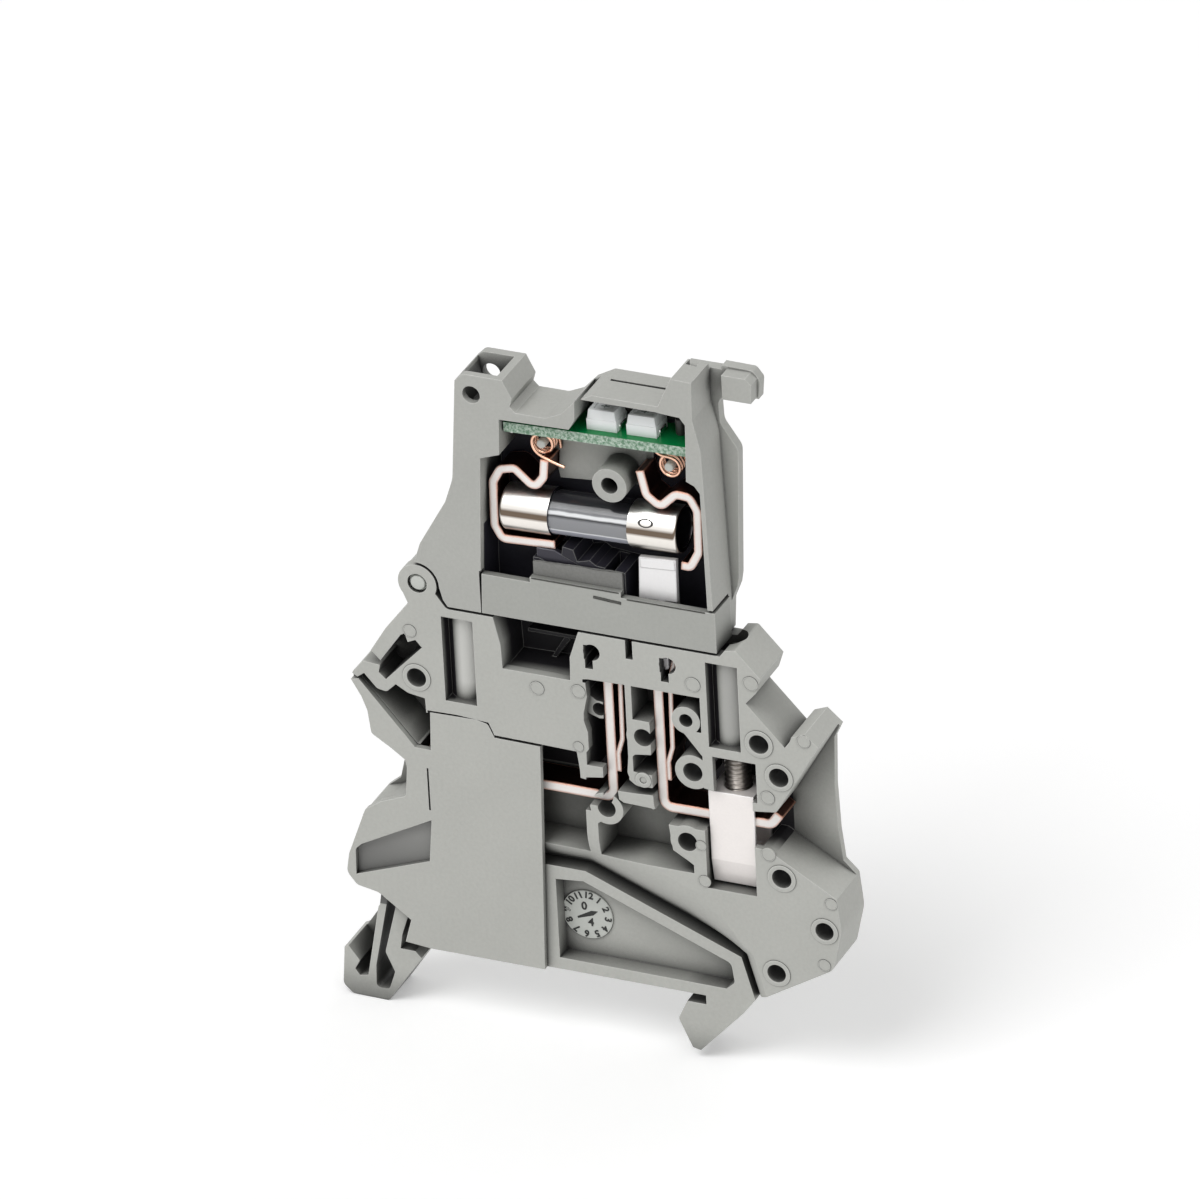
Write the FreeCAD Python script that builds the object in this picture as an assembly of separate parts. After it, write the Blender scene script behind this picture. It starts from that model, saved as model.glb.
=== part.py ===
import FreeCAD, Part
import math
import os

# Fuse terminal block for a 35 mm rail, millimetres.
# X runs to the right along the block, Y runs into the block from its open side, Z runs up.
# The origin lies on the rail seat, midway between the rail's lips and midway across the block.

# Width across the block and the moulding's walls
block_width = 6.2
web_thickness = 0.8
cover_thickness = 0.7
tongue_thickness = 1.0
keyhole_plate_thickness = 1.2

# Rail
rail_width = 35.0
rail_lip_thickness = 1.0
rail_clearance = 0.1

# Heights and lengths of the housing
housing_top = 42.0
shoulder_top = 43.0
lever_gap = 0.3
symmetry_x = 6.5
clamp_spacing = 30.0

# Frame above the rail: the corners of its sloped edge and the dished ramp outside it
frame_high = (4.4, 12.6)
frame_low = (21.9, 5.5)
dish_reach = 6.4
dish_depth = 2.8

# Clamps
busbar_thickness = 1.05
busbar_half_width = 1.8
busbar_height = 21.9
seat_gap = 0.05
sleeve_length = 5.1
sleeve_half_width = 2.2
sleeve_bottom = 14.05
sleeve_top = 25.1
sleeve_wall = 0.9
sleeve_roof = 1.9
sleeve_bevel = 2.8
sleeve_travel = 4.0
sleeve_headroom = 0.7
chamber_inner_gap = 0.3
chamber_outer_gap = 1.0
screw_radius = 1.45
screw_head_radius = 1.67
screw_head_height = 1.6
screw_slot_width = 0.5
screw_slot_depth = 0.8
screw_running_gap = 0.08
driver_tube_radius = 2.2
driver_window_half_width = 1.8
driver_window_low = 30.9
driver_window_high = 41.0

# Contacts in the middle of the block
left_upright_x = 7.9
right_upright_x = 13.6
upright_top = 41.2
contact_strip_thickness = 0.5
blade_thickness = 0.8
blade_gap = 0.05
blade_tip = 38.5
strap_thickness = 0.6

# Lever hinge
pivot_x = -12.8
pivot_z = 44.5
lug_radius = 2.2
lug_thickness = 1.5
pin_radius = 1.05
pin_gap = 0.06
lever_relief_gap = 0.3

# Lever
lever_top = 70.5
lever_floor = 0.9
lever_strip_top = 47.0
lever_strip_thickness = 0.8
lever_right = 21.0
lever_wall = 1.5
return_thickness = 0.7
return_depth = 0.9
boss_x = 9.6
boss_z = 59.8
boss_radius = 1.93
boss_hole_radius = 0.94

# Fuse
fuse_length = 20.0
fuse_radius = 2.6
cap_length = 5.5
cap_thickness = 0.25
fuse_x = 6.8
fuse_z = 54.3
fuse_tilt = 1.8
clip_thickness = 0.9
clip_half_width = 1.6

# Board
board_length = 20.6
board_thickness = 1.1
board_x = 8.1
board_z = 64.9
board_tilt = 1.7
board_half_width = 2.3
led_length = 3.4
led_height = 2.3
led_half_width = 1.4

# Wire coils between the board and the clips
coil_radius = 1.2
coil_wire = 0.4
coil_pitch = 0.6
coil_steps = 8

front = -block_width / 2
back = block_width / 2
web_front = back - web_thickness
rim_front = front + cover_thickness
right_clamp_x = symmetry_x + clamp_spacing / 2
left_clamp_x = symmetry_x - clamp_spacing / 2
lip_x = rail_width / 2
chamber_top = sleeve_top + sleeve_travel + sleeve_headroom
lever_bottom = housing_top + lever_gap


def at(x, z, y=0.0):
    return FreeCAD.Vector(x, y, z)


def outline(points, y):
    """Closed wire in the plane at depth y. A third number rounds that corner."""
    count = len(points)
    starts = []
    ends = []
    middles = []
    for index in range(count):
        corner = at(points[index][0], points[index][1], y)
        radius = points[index][2] if len(points[index]) > 2 else 0.0
        before = at(points[index - 1][0], points[index - 1][1], y)
        after = at(points[(index + 1) % count][0], points[(index + 1) % count][1], y)
        to_before = (before - corner).normalize()
        to_after = (after - corner).normalize()
        half_angle = to_before.getAngle(to_after) / 2
        if radius == 0.0 or half_angle > 1.55:
            starts.append(corner)
            ends.append(corner)
            middles.append(None)
            continue
        run = radius / math.tan(half_angle)
        bisector = (to_before + to_after).normalize()
        starts.append(corner + to_before * run)
        ends.append(corner + to_after * run)
        middles.append(corner + bisector * (radius / math.sin(half_angle) - radius))
    edges = []
    for index in range(count):
        if middles[index] is not None:
            edges.append(Part.Arc(starts[index], middles[index], ends[index]).toShape())
        follower = (index + 1) % count
        if (starts[follower] - ends[index]).Length > 1e-6:
            edges.append(Part.LineSegment(ends[index], starts[follower]).toShape())
    return Part.Wire(edges)


def slab(points, near, far):
    """Flat piece with the given outline, from depth near to depth far."""
    return Part.Face(outline(points, near)).extrude(FreeCAD.Vector(0, far - near, 0))


def block(x_low, x_high, y_low, y_high, z_low, z_high):
    size = (x_high - x_low, y_high - y_low, z_high - z_low)
    return Part.makeBox(*size, FreeCAD.Vector(x_low, y_low, z_low))


def disc(x, z, radius, near, far):
    """Cylinder that runs across the block."""
    return Part.makeCylinder(radius, far - near, at(x, z, near), FreeCAD.Vector(0, 1, 0))


def post(x, radius, bottom, top):
    """Upright cylinder on the block's middle plane."""
    return Part.makeCylinder(radius, top - bottom, at(x, bottom), FreeCAD.Vector(0, 0, 1))


def cut(shape, tools):
    for tool in tools:
        shape = shape.cut(tool)
    return shape


def join(shape, others):
    for other in others:
        shape = shape.fuse(other)
    return shape.removeSplitter()


def mirrored(points):
    """The same outline on the other side of the clamps' mirror line."""
    return [(2 * symmetry_x - point[0],) + tuple(point[1:]) for point in points]


def bent_strip(path, thickness, bend, near, far):
    """Strip of even thickness that follows a path, with every corner bent to one radius."""
    left_side = []
    right_side = []
    last = len(path) - 1
    for index, (x, z) in enumerate(path):
        here = at(x, z)
        towards = (at(*path[index + 1]) - here).normalize() if index < last else None
        along = (here - at(*path[index - 1])).normalize() if index > 0 else towards
        towards = towards or along
        turn = along.x * towards.z - along.z * towards.x
        tangent = (along + towards).normalize()
        side = at(-tangent.z, tangent.x)
        mitre = thickness / 2 / max(math.cos(along.getAngle(towards) / 2), 0.3)
        inner = bend - thickness / 2
        outer = bend + thickness / 2
        corner = 0 < index < last
        left_radius = (inner if turn > 0 else outer) if corner else 0.0
        right_radius = (outer if turn > 0 else inner) if corner else 0.0
        left_point = here + side * mitre
        right_point = here - side * mitre
        left_side.append((left_point.x, left_point.z, left_radius))
        right_side.append((right_point.x, right_point.z, right_radius))
    return slab(left_side + right_side[::-1], near, far)


def turned(shape, x, z, degrees):
    """Turn a shape in the plane of the block, anticlockwise as seen from its open side."""
    copy = shape.copy()
    copy.rotate(at(x, z), FreeCAD.Vector(0, -1, 0), degrees)
    return copy


# Housing

def housing_outline():
    tip_z = -rail_lip_thickness - rail_clearance
    return [
        (-9.6, housing_top, 0.8), (21.4, housing_top), (22.0, shoulder_top - 0.2), (23.2, shoulder_top, 0.4),
        (25.9, 40.1), (25.3, 38.3), (24.1, 36.9), (28.3, 32.4), (28.9, 33.2), (29.1, 33.8),
        (30.6, 34.4), (32.3, 32.9), (31.6, 31.4), (31.4, 25.6), (31.6, 20.2), (32.0, 16.6),
        (33.4, 15.2, 0.5), (33.8, 11.2, 3.0), (32.7, 6.4, 1.5), (23.4, 0.7, 0.8), (21.8, -1.4), (16.7, -6.9),
        (15.8, -6.7), (14.3, -3.4, 0.6), (15.4, tip_z), (lip_x + rail_clearance, tip_z),
        (lip_x + rail_clearance, 0.0), (-16.7, 0.0), (-16.2, 3.0), (-19.5, 5.8, 1.5), (-22.0, 6.3, 1.0),
        (-23.1, 7.9, 1.2), (-22.7, 10.0, 1.0), (-20.5, 15.6, 0.8), (-18.7, 17.1), (-17.4, 22.4), (-18.4, 24.4),
        (-19.3, 25.4, 0.5), (-19.5, 28.0, 2.0), (-21.2, 31.6), (-20.9, 32.5), (-19.3, 34.4),
        (-16.8, 38.4), (-14.0, 41.9), (-14.5, 43.1), (pivot_x, pivot_z), (-10.8, 43.6),
    ]


def funnel(mouth_x):
    """Wire funnel that opens at the end of the block and narrows to the clamp's chamber."""
    points = [(mouth_x, 34.6), (32.3, 33.4), (27.0, 24.4, 0.5), (24.0, 24.0), (24.0, 19.7), (25.9, 19.6, 0.5),
              (33.6, 15.0), (mouth_x, 14.4)]
    return points


def driver_pocket(x):
    """Window beside the driver channel. Its floor is the round front of the channel's tube."""
    window = block(x - driver_window_half_width, x + driver_window_half_width, front - 1, 0,
                   driver_window_low, driver_window_high)
    return window.cut(post(x, driver_tube_radius, driver_window_low - 1, driver_window_high + 1))


def spring_foot():
    """Left foot: a block on two thin arms, with a hook under the rail's lip."""
    body = slab([
        (-19.4, 6.4), (-19.8, 3.9), (-23.7, -1.9), (-24.3, -2.2), (-24.7, -6.8, 0.9), (-23.6, -7.8, 0.8),
        (-19.4, -7.9, 0.6), (-15.3, -1.9), (-16.0, -1.15), (-17.7, -1.15), (-17.4, 0.6), (-16.5, 3.3),
        (-16.5, 6.4)], rim_front, back)
    left_pocket = slab([(-20.0, 3.6), (-21.7, -5.2), (-22.7, -5.4), (-23.2, -4.7),
                        (-22.6, -3.6), (-24.4, -1.2), (-24.0, 0.5)], rim_front - 1, web_front)
    slot = slab([(-18.9, 4.6), (-17.9, 4.2), (-19.5, -1.9, 0.6), (-18.5, -4.2, 0.5), (-19.3, -6.5, 0.5),
                 (-20.8, -6.5, 0.5), (-20.7, -3.8)], rim_front - 1, back + 1)
    return cut(body, [left_pocket, slot])


def dish_section(foot, direction, reach):
    """Profile of the dished ramp: deep at the frame's foot, level with the front at its reach."""
    deep = front + dish_depth

    def place(out, y):
        return at(foot[0] + direction.x * out, foot[1] + direction.z * out, y)

    low = place(0, deep)
    middle = place(reach * 0.32, front + dish_depth * 0.36)
    high = place(reach, front)
    above = place(reach, front - 1)
    start = place(0, front - 1)
    return Part.Wire([
        Part.Arc(low, middle, high).toShape(),
        Part.LineSegment(high, above).toShape(),
        Part.LineSegment(above, start).toShape(),
        Part.LineSegment(start, low).toShape(),
    ])


def dished_ramp():
    """Hollow that falls from the front plate to the foot of the frame around the pocket."""
    upward = FreeCAD.Vector(0, 0, 1)
    run = at(*frame_low) - at(*frame_high)
    slope = FreeCAD.Vector(-run.z, 0, run.x).normalize()
    fall = at(frame_low[0] + 1.5, 0) - at(*frame_low)
    sideways = FreeCAD.Vector(-fall.z, 0, fall.x).normalize()
    turn = FreeCAD.Vector(0, 1, 0)
    narrow = dish_reach * 0.3
    shoulder = (frame_high[0] + run.x * 0.6, frame_high[1] + run.z * 0.6)
    top = Part.Face(dish_section(frame_high, upward, dish_reach)).extrude(FreeCAD.Vector(-8.4, 0, 0))
    first_turn = Part.Face(dish_section(frame_high, upward, dish_reach)).revolve(
        at(*frame_high), turn, math.degrees(upward.getAngle(slope)))
    long_run = Part.Face(dish_section(frame_high, slope, dish_reach)).extrude(run * 0.6)
    taper = Part.makeLoft([dish_section(shoulder, slope, dish_reach), dish_section(frame_low, slope, narrow)],
                          True, True)
    second_turn = Part.Face(dish_section(frame_low, slope, narrow)).revolve(
        at(*frame_low), turn, math.degrees(slope.getAngle(sideways)))
    side = Part.Face(dish_section(frame_low, sideways, narrow)).extrude(fall)
    return [top, first_turn, long_run, taper, second_turn, side]


def frame_pocket():
    """Sunken panel inside the frame above the rail."""
    return slab([(0.9, 11.0), (4.1, 11.3), (20.7, 4.5, 0.8), (21.0, 2.2, 0.6), (20.0, 1.3),
                 (0.9, 1.4)], front - 1, rim_front + 2.0)


def chamber_pockets():
    """Open pockets that hold the copper parts, all cut from the open side."""
    left_upright = slab([(5.6, 36.4), (6.2, 36.5), (10.4, 36.6), (10.4, 24.9), (9.9, 20.6), (-13.9, 20.6),
                         (-13.9, 29.0), (4.6, 29.0), (4.8, 24.4), (5.4, 24.3)], front - 1, web_front)
    upper_gap = slab([(11.1, 36.6), (18.9, 36.6), (18.9, 32.4), (13.0, 32.6), (11.1, 32.6)],
                     front - 1, web_front - 1.2)
    right_upright = slab([(13.0, 36.6), (15.8, 36.6), (15.8, 33.4), (18.9, 29.6), (18.9, 25.8), (20.0, 25.6),
                          (20.0, 20.6), (13.0, 20.6)], front - 1, web_front)
    hidden_uprights = block(6.9, 18.4, front + keyhole_plate_thickness, web_front, 36.0, 41.4)
    top_slots = block(7.2, 17.6, front + keyhole_plate_thickness, web_front, 41.0, housing_top + 1)
    between = slab([(11.2, 28.4), (13.2, 28.7), (13.2, 26.2), (11.8, 26.2), (10.9, 26.3),
                    (10.9, 28.1)], front - 1, web_front)
    under_web = slab([(9.9, 25.6), (11.2, 24.6, 1.0), (13.2, 24.7), (13.2, 23.8), (9.9, 23.6)],
                     front - 1, web_front)
    return [left_upright, upper_gap, right_upright, hidden_uprights, top_slots, between, under_web]


def clamp_chamber(x, outward):
    """Room for the clamp's sleeve and its upward travel."""
    inner_end = x - outward * (sleeve_length / 2 + chamber_inner_gap)
    outer_end = x + outward * (sleeve_length / 2 + chamber_outer_gap)
    return block(min(inner_end, outer_end), max(inner_end, outer_end), -sleeve_half_width - 0.15, web_front,
                 sleeve_bottom - chamber_inner_gap, chamber_top)


def clamp_windows(x):
    """Openings in the front plate that show the right clamp: one over the sleeve, one over the screw's shank."""
    near = -sleeve_half_width - 0.1
    over_screw = block(x - screw_radius - 0.05, x + 3.4, front - 1, near, sleeve_top, chamber_top)
    over_sleeve = block(x - sleeve_length / 2 - 0.2, x + sleeve_length / 2 + 0.3, front - 1, near,
                        sleeve_bottom - chamber_inner_gap, sleeve_top + 0.4)
    return [over_screw, over_sleeve]


def lower_compartments():
    """Two shallow rooms under the busbars with a thin rib between them."""
    first = slab([(-4.0, 21.0), (5.2, 21.0), (5.2, 15.2), (-4.0, 15.2)], front - 1, web_front - 0.6)
    second = slab([(8.9, 21.0), (9.6, 22.3), (12.8, 22.2), (14.6, 20.9), (15.0, 17.6), (16.7, 16.6),
                   (17.3, 16.2), (17.3, 15.2), (6.5, 15.2), (6.5, 19.2)],
                  front - 1, web_front - 0.6)
    return [first, second]


def left_side_pockets():
    """Hollows on the left: behind the ear, behind the left funnel and behind the recess in the cover."""
    behind_ear = slab([(-20.4, 31.9), (-19.6, 32.5), (-18.2, 30.9, 0.8), (-17.1, 30.7, 0.6), (-16.0, 31.8),
                       (-14.6, 31.0, 1.0), (-12.7, 30.7), (-12.5, 24.6), (-14.2, 24.6)],
                      front - 1, web_front)
    left_funnel = slab(mirrored([(39.0, 29.5), (33.0, 29.5), (27.8, 23.3, 0.5), (24.5, 23.0), (24.5, 19.7),
                                 (26.4, 19.4, 0.5), (31.5, 16.4), (36.0, 15.0)]), rim_front - 1, web_front)
    return [behind_ear, left_funnel]


def marker_groove():
    """Keyed groove on the left slope that takes a snap-in marker strip."""
    return slab([(-20.2, 34.0), (-17.7, 33.8), (-17.9, 32.9), (-17.1, 32.2), (-12.7, 36.8),
                 (-13.4, 37.6), (-14.3, 37.2), (-14.6, 38.2), (-15.1, 37.9), (-17.6, 34.4),
                 (-19.0, 35.8)], front - 1, web_front - 0.9)


def keyholes():
    """Key-shaped slots over the contacts and the slit between them."""
    cuts = []
    for x in (5.9, 14.5):
        round_part = disc(x + 0.9, 39.8, 0.95, front - 1, web_front)
        square_part = block(x, x + 1.0, front - 1, web_front, 38.9, 40.6)
        stem = block(x + 0.1, x + 1.0, front - 1, web_front, 37.8, 39.2)
        cuts.append(join(round_part, [square_part, stem]))
    cuts.append(block(10.7, 11.5, front - 1, front + 2.2, 39.8, housing_top + 1))
    return cuts


def socket():
    """Opening behind the plate that takes a marker or a bridge."""
    mouth = slab([(-4.2, housing_top + 1), (5.5, housing_top + 1), (5.4, housing_top), (4.3, 38.8), (4.2, 35.9),
                  (-3.5, 35.7), (-3.6, 38.8), (-4.3, housing_top)], front - 1, web_front)
    shelf = block(-2.2, 4.6, 0.9, back, 38.6, 39.0)
    stay = slab([(0.0, 35.5), (0.5, 35.5), (2.4, 38.2), (1.9, 38.6)], 1.3, back)
    return mouth, [shelf, stay]


ring_holes = [
    (12.2, 30.6, 1.03), (17.2, 33.6, 0.76), (17.7, 27.5, 1.1), (7.6, 21.2, 1.03), (16.7, 18.9, 1.1),
    (25.4, 32.3, 1.1), (27.5, 28.7, 1.1), (27.3, 16.5, 1.1), (31.9, 11.0, 1.03), (26.2, 4.8, 1.05),
    (-13.5, 33.1, 1.1), (6.9, 32.5, 0.76),
]
ring_wall = 0.85


def ring_boss(x, z, radius, bottom=web_front):
    return disc(x, z, radius + ring_wall, front, bottom + 0.1)


def inner_walls():
    """Thin walls and ring bosses that stand in the pockets."""
    bosses = [ring_boss(12.2, 30.6, 1.03), ring_boss(17.2, 33.6, 0.76), ring_boss(17.7, 27.5, 1.15),
              ring_boss(7.6, 21.2, 1.03), ring_boss(16.7, 18.9, 1.1)]
    tab = slab([(5.5, 34.3), (6.6, 33.5), (7.6, 33.4), (7.6, 31.5), (6.9, 31.4), (5.4, 31.9)], front + 1.0, web_front)
    mast = slab([(10.4, 34.7), (11.1, 34.7), (11.1, 32.6), (13.0, 32.6), (13.0, 28.8), (11.2, 28.4),
                 (10.9, 28.1), (10.9, 26.3), (11.8, 26.2), (13.0, 26.2), (13.0, 24.8),
                 (11.2, 24.8, 0.9), (10.2, 25.8, 0.9), (10.4, 28.0)], front, web_front + 0.1)
    floor_rib = slab([(9.6, 22.3), (9.1, 22.6), (9.0, 23.6), (13.4, 23.7), (14.4, 21.6), (13.4, 22.2)],
                     front, web_front + 0.1)
    return bosses + [tab, mast, floor_rib]


def busbar_seats():
    """Exact seats for the busbars, open to the front where the photographed side shows them."""
    seats = []
    for x, clamp_x in ((left_upright_x, left_clamp_x), (right_upright_x, right_clamp_x)):
        path = busbar_path(x, clamp_x)
        wide = busbar_thickness + 2 * seat_gap
        seats.append(bent_strip(path, wide, 1.0, -busbar_half_width - seat_gap, busbar_half_width + seat_gap))
        seats.append(bent_strip([(x, 36.4)] + path[1:], wide, 1.0, front - 1, 0))
    return seats


def make_housing():
    body = slab(housing_outline(), front, back)
    body = body.fuse(disc(pivot_x, pivot_z, lug_radius, front, back))
    lower_left = slab([(-30.0, 24.6), (-12.5, 24.6), (-12.5, 29.3), (-6.8, 29.4), (-5.4, 29.1), (-4.8, 27.6), (0.5, 27.6),
                       (-0.4, 12.6), (4.4, 13.0), (30.0, 2.2), (30.0, -9.0), (-30.0, -9.0)], front - 1, rim_front)
    strut_zone = slab([(-30.0, 24.0), (-12.5, 24.0), (-14.0, 25.0), (-20.4, 31.9), (-24.0, 34.0)],
                      front - 1, rim_front)
    lower_right_plate = slab([(22.4, 8.0), (23.6, 0.4), (40.0, 0.4), (40.0, 8.0)], front, rim_front + 0.5)
    body = cut(body, [lower_left, strut_zone])
    body = body.fuse(lower_right_plate.common(slab(housing_outline(), front, back)))
    body = cut(body, dished_ramp())
    body = cut(body, [frame_pocket()])
    body = cut(body, lower_compartments())
    body = cut(body, chamber_pockets())
    mouth, stays = socket()
    body = cut(body, [mouth])
    body = cut(body, left_side_pockets() + [marker_groove()] + keyholes())
    body = cut(body, [slab(funnel(40.0), front - 1, web_front)])
    body = join(body, [part.common(slab(housing_outline(), front, back)) for part in inner_walls() + stays])
    body = cut(body, [clamp_chamber(right_clamp_x, 1), clamp_chamber(left_clamp_x, -1)])
    body = cut(body, clamp_windows(right_clamp_x))
    body = cut(body, busbar_seats())
    tongue = slab([(-5.0, 36.0), (5.9, 36.0), (6.0, 34.3), (5.4, 31.7), (5.9, 30.1), (5.9, 28.0), (5.6, 27.6),
                   (5.6, 26.1), (7.4, 26.1), (7.4, 24.9), (5.6, 24.6), (4.9, 24.4), (4.5, 27.5), (0.5, 27.6),
                   (-4.9, 27.7), (-5.5, 29.1), (-12.4, 29.6), (-12.4, 30.8), (-5.0, 30.8)],
                  front, front + tongue_thickness)
    body = join(body, [tongue])
    for x in (left_clamp_x, right_clamp_x):
        body = body.cut(driver_pocket(x))
        body = body.cut(post(x, screw_head_radius + screw_running_gap, chamber_top - 1, shoulder_top + 1))
    body = join(body, [spring_foot()])
    for x, z, radius in ring_holes:
        body = body.cut(disc(x, z, radius, front - 1, back + 1))
    lever_slot = disc(pivot_x, pivot_z, lug_radius + 0.35, front + lug_thickness, back - lug_thickness)
    arm_slot = slab([(pivot_x - 2.6, pivot_z), (pivot_x - 2.6, pivot_z + 3), (pivot_x + 4, pivot_z + 3),
                     (pivot_x + 4, housing_top), (-9.9, housing_top - 0.2), (-14.4, housing_top - 0.2)],
                    front + lug_thickness, back - lug_thickness)
    body = cut(body, [lever_slot, arm_slot])
    body = body.cut(disc(pivot_x, pivot_z, pin_radius + pin_gap, front - 1, back + 1))
    return body.removeSplitter()


# Left cover

def make_left_cover():
    plate = slab([
        (-21.2, 31.5), (-20.1, 29.6), (-19.5, 28.0, 1.0), (-19.2, 25.3, 0.6), (-17.0, 23.9), (-15.5, 22.8),
        (-15.3, 21.9), (-15.6, 18.3, 0.5), (-18.6, 17.1), (-20.5, 15.8, 0.8), (-22.7, 10.0, 1.0), (-23.1, 7.7, 1.2),
        (-22.0, 6.3, 0.8), (-19.5, 5.8, 1.5), (-15.9, 3.1), (-16.7, 0.3), (-13.6, 0.0), (-0.6, 0.0),
        (0.3, 27.3), (-4.9, 27.4), (-5.6, 28.9, 0.5), (-6.9, 29.2), (-12.2, 29.1), (-12.4, 24.5),
        (-14.2, 24.5), (-20.3, 31.7)], front, rim_front - 0.02)
    recess = slab([(-12.8, 15.9), (-13.3, 10.8), (-22.0, 7.6), (-21.9, 10.7, 0.5), (-21.2, 11.4)],
                  front - 1, rim_front + 1)
    mark = block(-13.0, -12.8, front - 1, front + 0.25, 17.1, 22.2)
    return cut(plate, [recess, mark])


# Conductors

def busbar_path(x, clamp_x):
    outward = 1 if clamp_x > x else -1
    end_x = clamp_x + outward * 4.3
    return [(x, upright_top), (x, busbar_height), (end_x, busbar_height + 0.1),
            (end_x + outward * 0.9, busbar_height + 1.4)]


def make_busbar(x, clamp_x):
    return bent_strip(busbar_path(x, clamp_x), busbar_thickness, 1.0, -busbar_half_width, busbar_half_width)


def make_contact_spring(x):
    """Strip riveted low on the upright, then held off it to grip the blade, with a leaning lead-in."""
    face = x + busbar_thickness / 2 + contact_strip_thickness / 2
    open_face = face + blade_thickness - 0.15
    path = [(face, busbar_height + 3.3), (face, busbar_height + 5.5), (open_face - 0.1, busbar_height + 7.3),
            (open_face, blade_tip - 1.1), (open_face + 1.0, upright_top)]
    return bent_strip(path, contact_strip_thickness, 0.6, -busbar_half_width, busbar_half_width)


def make_sleeve(x):
    """Box clamp: open along the block for the wire, threaded roof, bevelled foot."""
    left = x - sleeve_length / 2
    right = x + sleeve_length / 2
    body = block(left, right, -sleeve_half_width, sleeve_half_width, sleeve_bottom, sleeve_top)
    window_bottom = sleeve_bottom + sleeve_bevel * 0.7
    inner_half = sleeve_half_width - sleeve_wall
    window = block(left - 1, right + 1, -busbar_half_width - 0.1, busbar_half_width + 0.1,
                   window_bottom + inner_half, sleeve_top - sleeve_roof)
    trough = Part.Face(Part.makePolygon([
        FreeCAD.Vector(left - 1, -inner_half, window_bottom + inner_half + 0.1),
        FreeCAD.Vector(left - 1, -inner_half * 0.5, window_bottom),
        FreeCAD.Vector(left - 1, inner_half * 0.5, window_bottom),
        FreeCAD.Vector(left - 1, inner_half, window_bottom + inner_half + 0.1),
        FreeCAD.Vector(left - 1, -inner_half, window_bottom + inner_half + 0.1),
    ])).extrude(FreeCAD.Vector(sleeve_length + 2, 0, 0))
    bevel_depth = 0.45
    bevel = Part.Face(Part.makePolygon([
        FreeCAD.Vector(left - 1, -sleeve_half_width - 1, sleeve_bottom - 1),
        FreeCAD.Vector(left - 1, -sleeve_half_width + bevel_depth, sleeve_bottom - 1),
        FreeCAD.Vector(left - 1, -sleeve_half_width + bevel_depth, sleeve_bottom),
        FreeCAD.Vector(left - 1, -sleeve_half_width, sleeve_bottom + sleeve_bevel),
        FreeCAD.Vector(left - 1, -sleeve_half_width - 1, sleeve_bottom + sleeve_bevel),
        FreeCAD.Vector(left - 1, -sleeve_half_width - 1, sleeve_bottom - 1),
    ])).extrude(FreeCAD.Vector(sleeve_length + 2, 0, 0))
    thread = post(x, screw_radius + screw_running_gap, sleeve_top - sleeve_roof - 1, sleeve_top + 1)
    return cut(body, [window, trough, bevel, thread])


def make_clamp_screw(x):
    tip = busbar_height + busbar_thickness / 2 + 0.1
    head_bottom = chamber_top
    head_top = head_bottom + screw_head_height
    shank = post(x, screw_radius, tip, head_bottom)
    head = post(x, screw_head_radius, head_bottom, head_top)
    slot = block(x - 2, x + 2, -screw_slot_width / 2, screw_slot_width / 2,
                 head_top - screw_slot_depth, head_top + 1)
    return shank.fuse(head).removeSplitter().cut(slot)


# Lever

def lever_outline():
    return [
        (-5.6, lever_bottom), (lever_right - 0.4, lever_bottom), (lever_right - 0.1, lever_strip_top), (lever_right - 0.6, 66.0),
        (19.6, 69.5), (19.7, 73.9), (17.4, 74.0), (15.8, lever_top), (8.4, lever_top, 0.5),
        (6.4, 69.4), (4.8, 67.7, 0.8), (3.0, 66.9, 0.8), (-0.4, 66.9), (-1.0, 67.5), (-0.7, 68.5),
        (-1.7, 70.5), (-6.2, 70.5, 0.8), (-7.1, 69.6), (-8.0, 57.8, 4.0), (-9.0, 54.9), (-12.2, 49.4, 1.5),
        (-13.0, 47.0), (pivot_x - 1.2, pivot_z + 1.0), (pivot_x, pivot_z - 1.5), (-10.0, lever_bottom),
    ]


def lever_flange():
    """Thin back flange with the finger notch and the grip lip."""
    return slab([
        (19.5, 42.6), (21.6, 47.8), (21.8, 49.0), (22.4, 64.0, 1.5), (20.5, 66.8, 1.5), (20.4, 69.6, 1.2),
        (21.8, 70.4, 0.6), (25.0, 70.4), (25.2, 72.6, 0.6), (24.4, 73.6, 0.5), (19.4, 73.7), (18.0, 70.0)],
        back - 1.2, back)


def lever_grip():
    """Block behind the flange's lip that the finger pulls on."""
    return slab([(21.6, 70.6), (24.8, 70.6), (24.9, 72.8), (24.2, 73.4), (21.6, 73.4)],
                back - 2.8, back - 0.5)


def lever_cavity():
    return slab([
        (-5.4, 47.0), (-4.7, 60.8), (-2.5, 61.6), (-2.3, 65.8), (5.6, 66.0), (6.3, 67.2), (6.4, 69.8),
        (15.4, 69.8), (16.4, 69.7), (18.2, 69.6), (18.8, 68.8), (18.6, 62.2), (19.5, 61.8),
        (lever_right - lever_wall + 0.6, 61.0), (lever_right - lever_wall + 0.8, lever_strip_top),
        (lever_right - lever_wall + 0.8, lever_bottom + lever_floor), (-5.4, lever_bottom + lever_floor)],
        front - 1, web_front)


def ear_hollow():
    """The ear is open at its top between its front and back walls, with a slanted floor."""
    return slab([(-7.4, 71.5), (-6.6, 69.6), (-6.2, 66.4), (-4.6, 66.2), (-2.6, 70.2), (-2.4, 71.5)],
                front + 0.8, web_front - 0.2)


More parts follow.
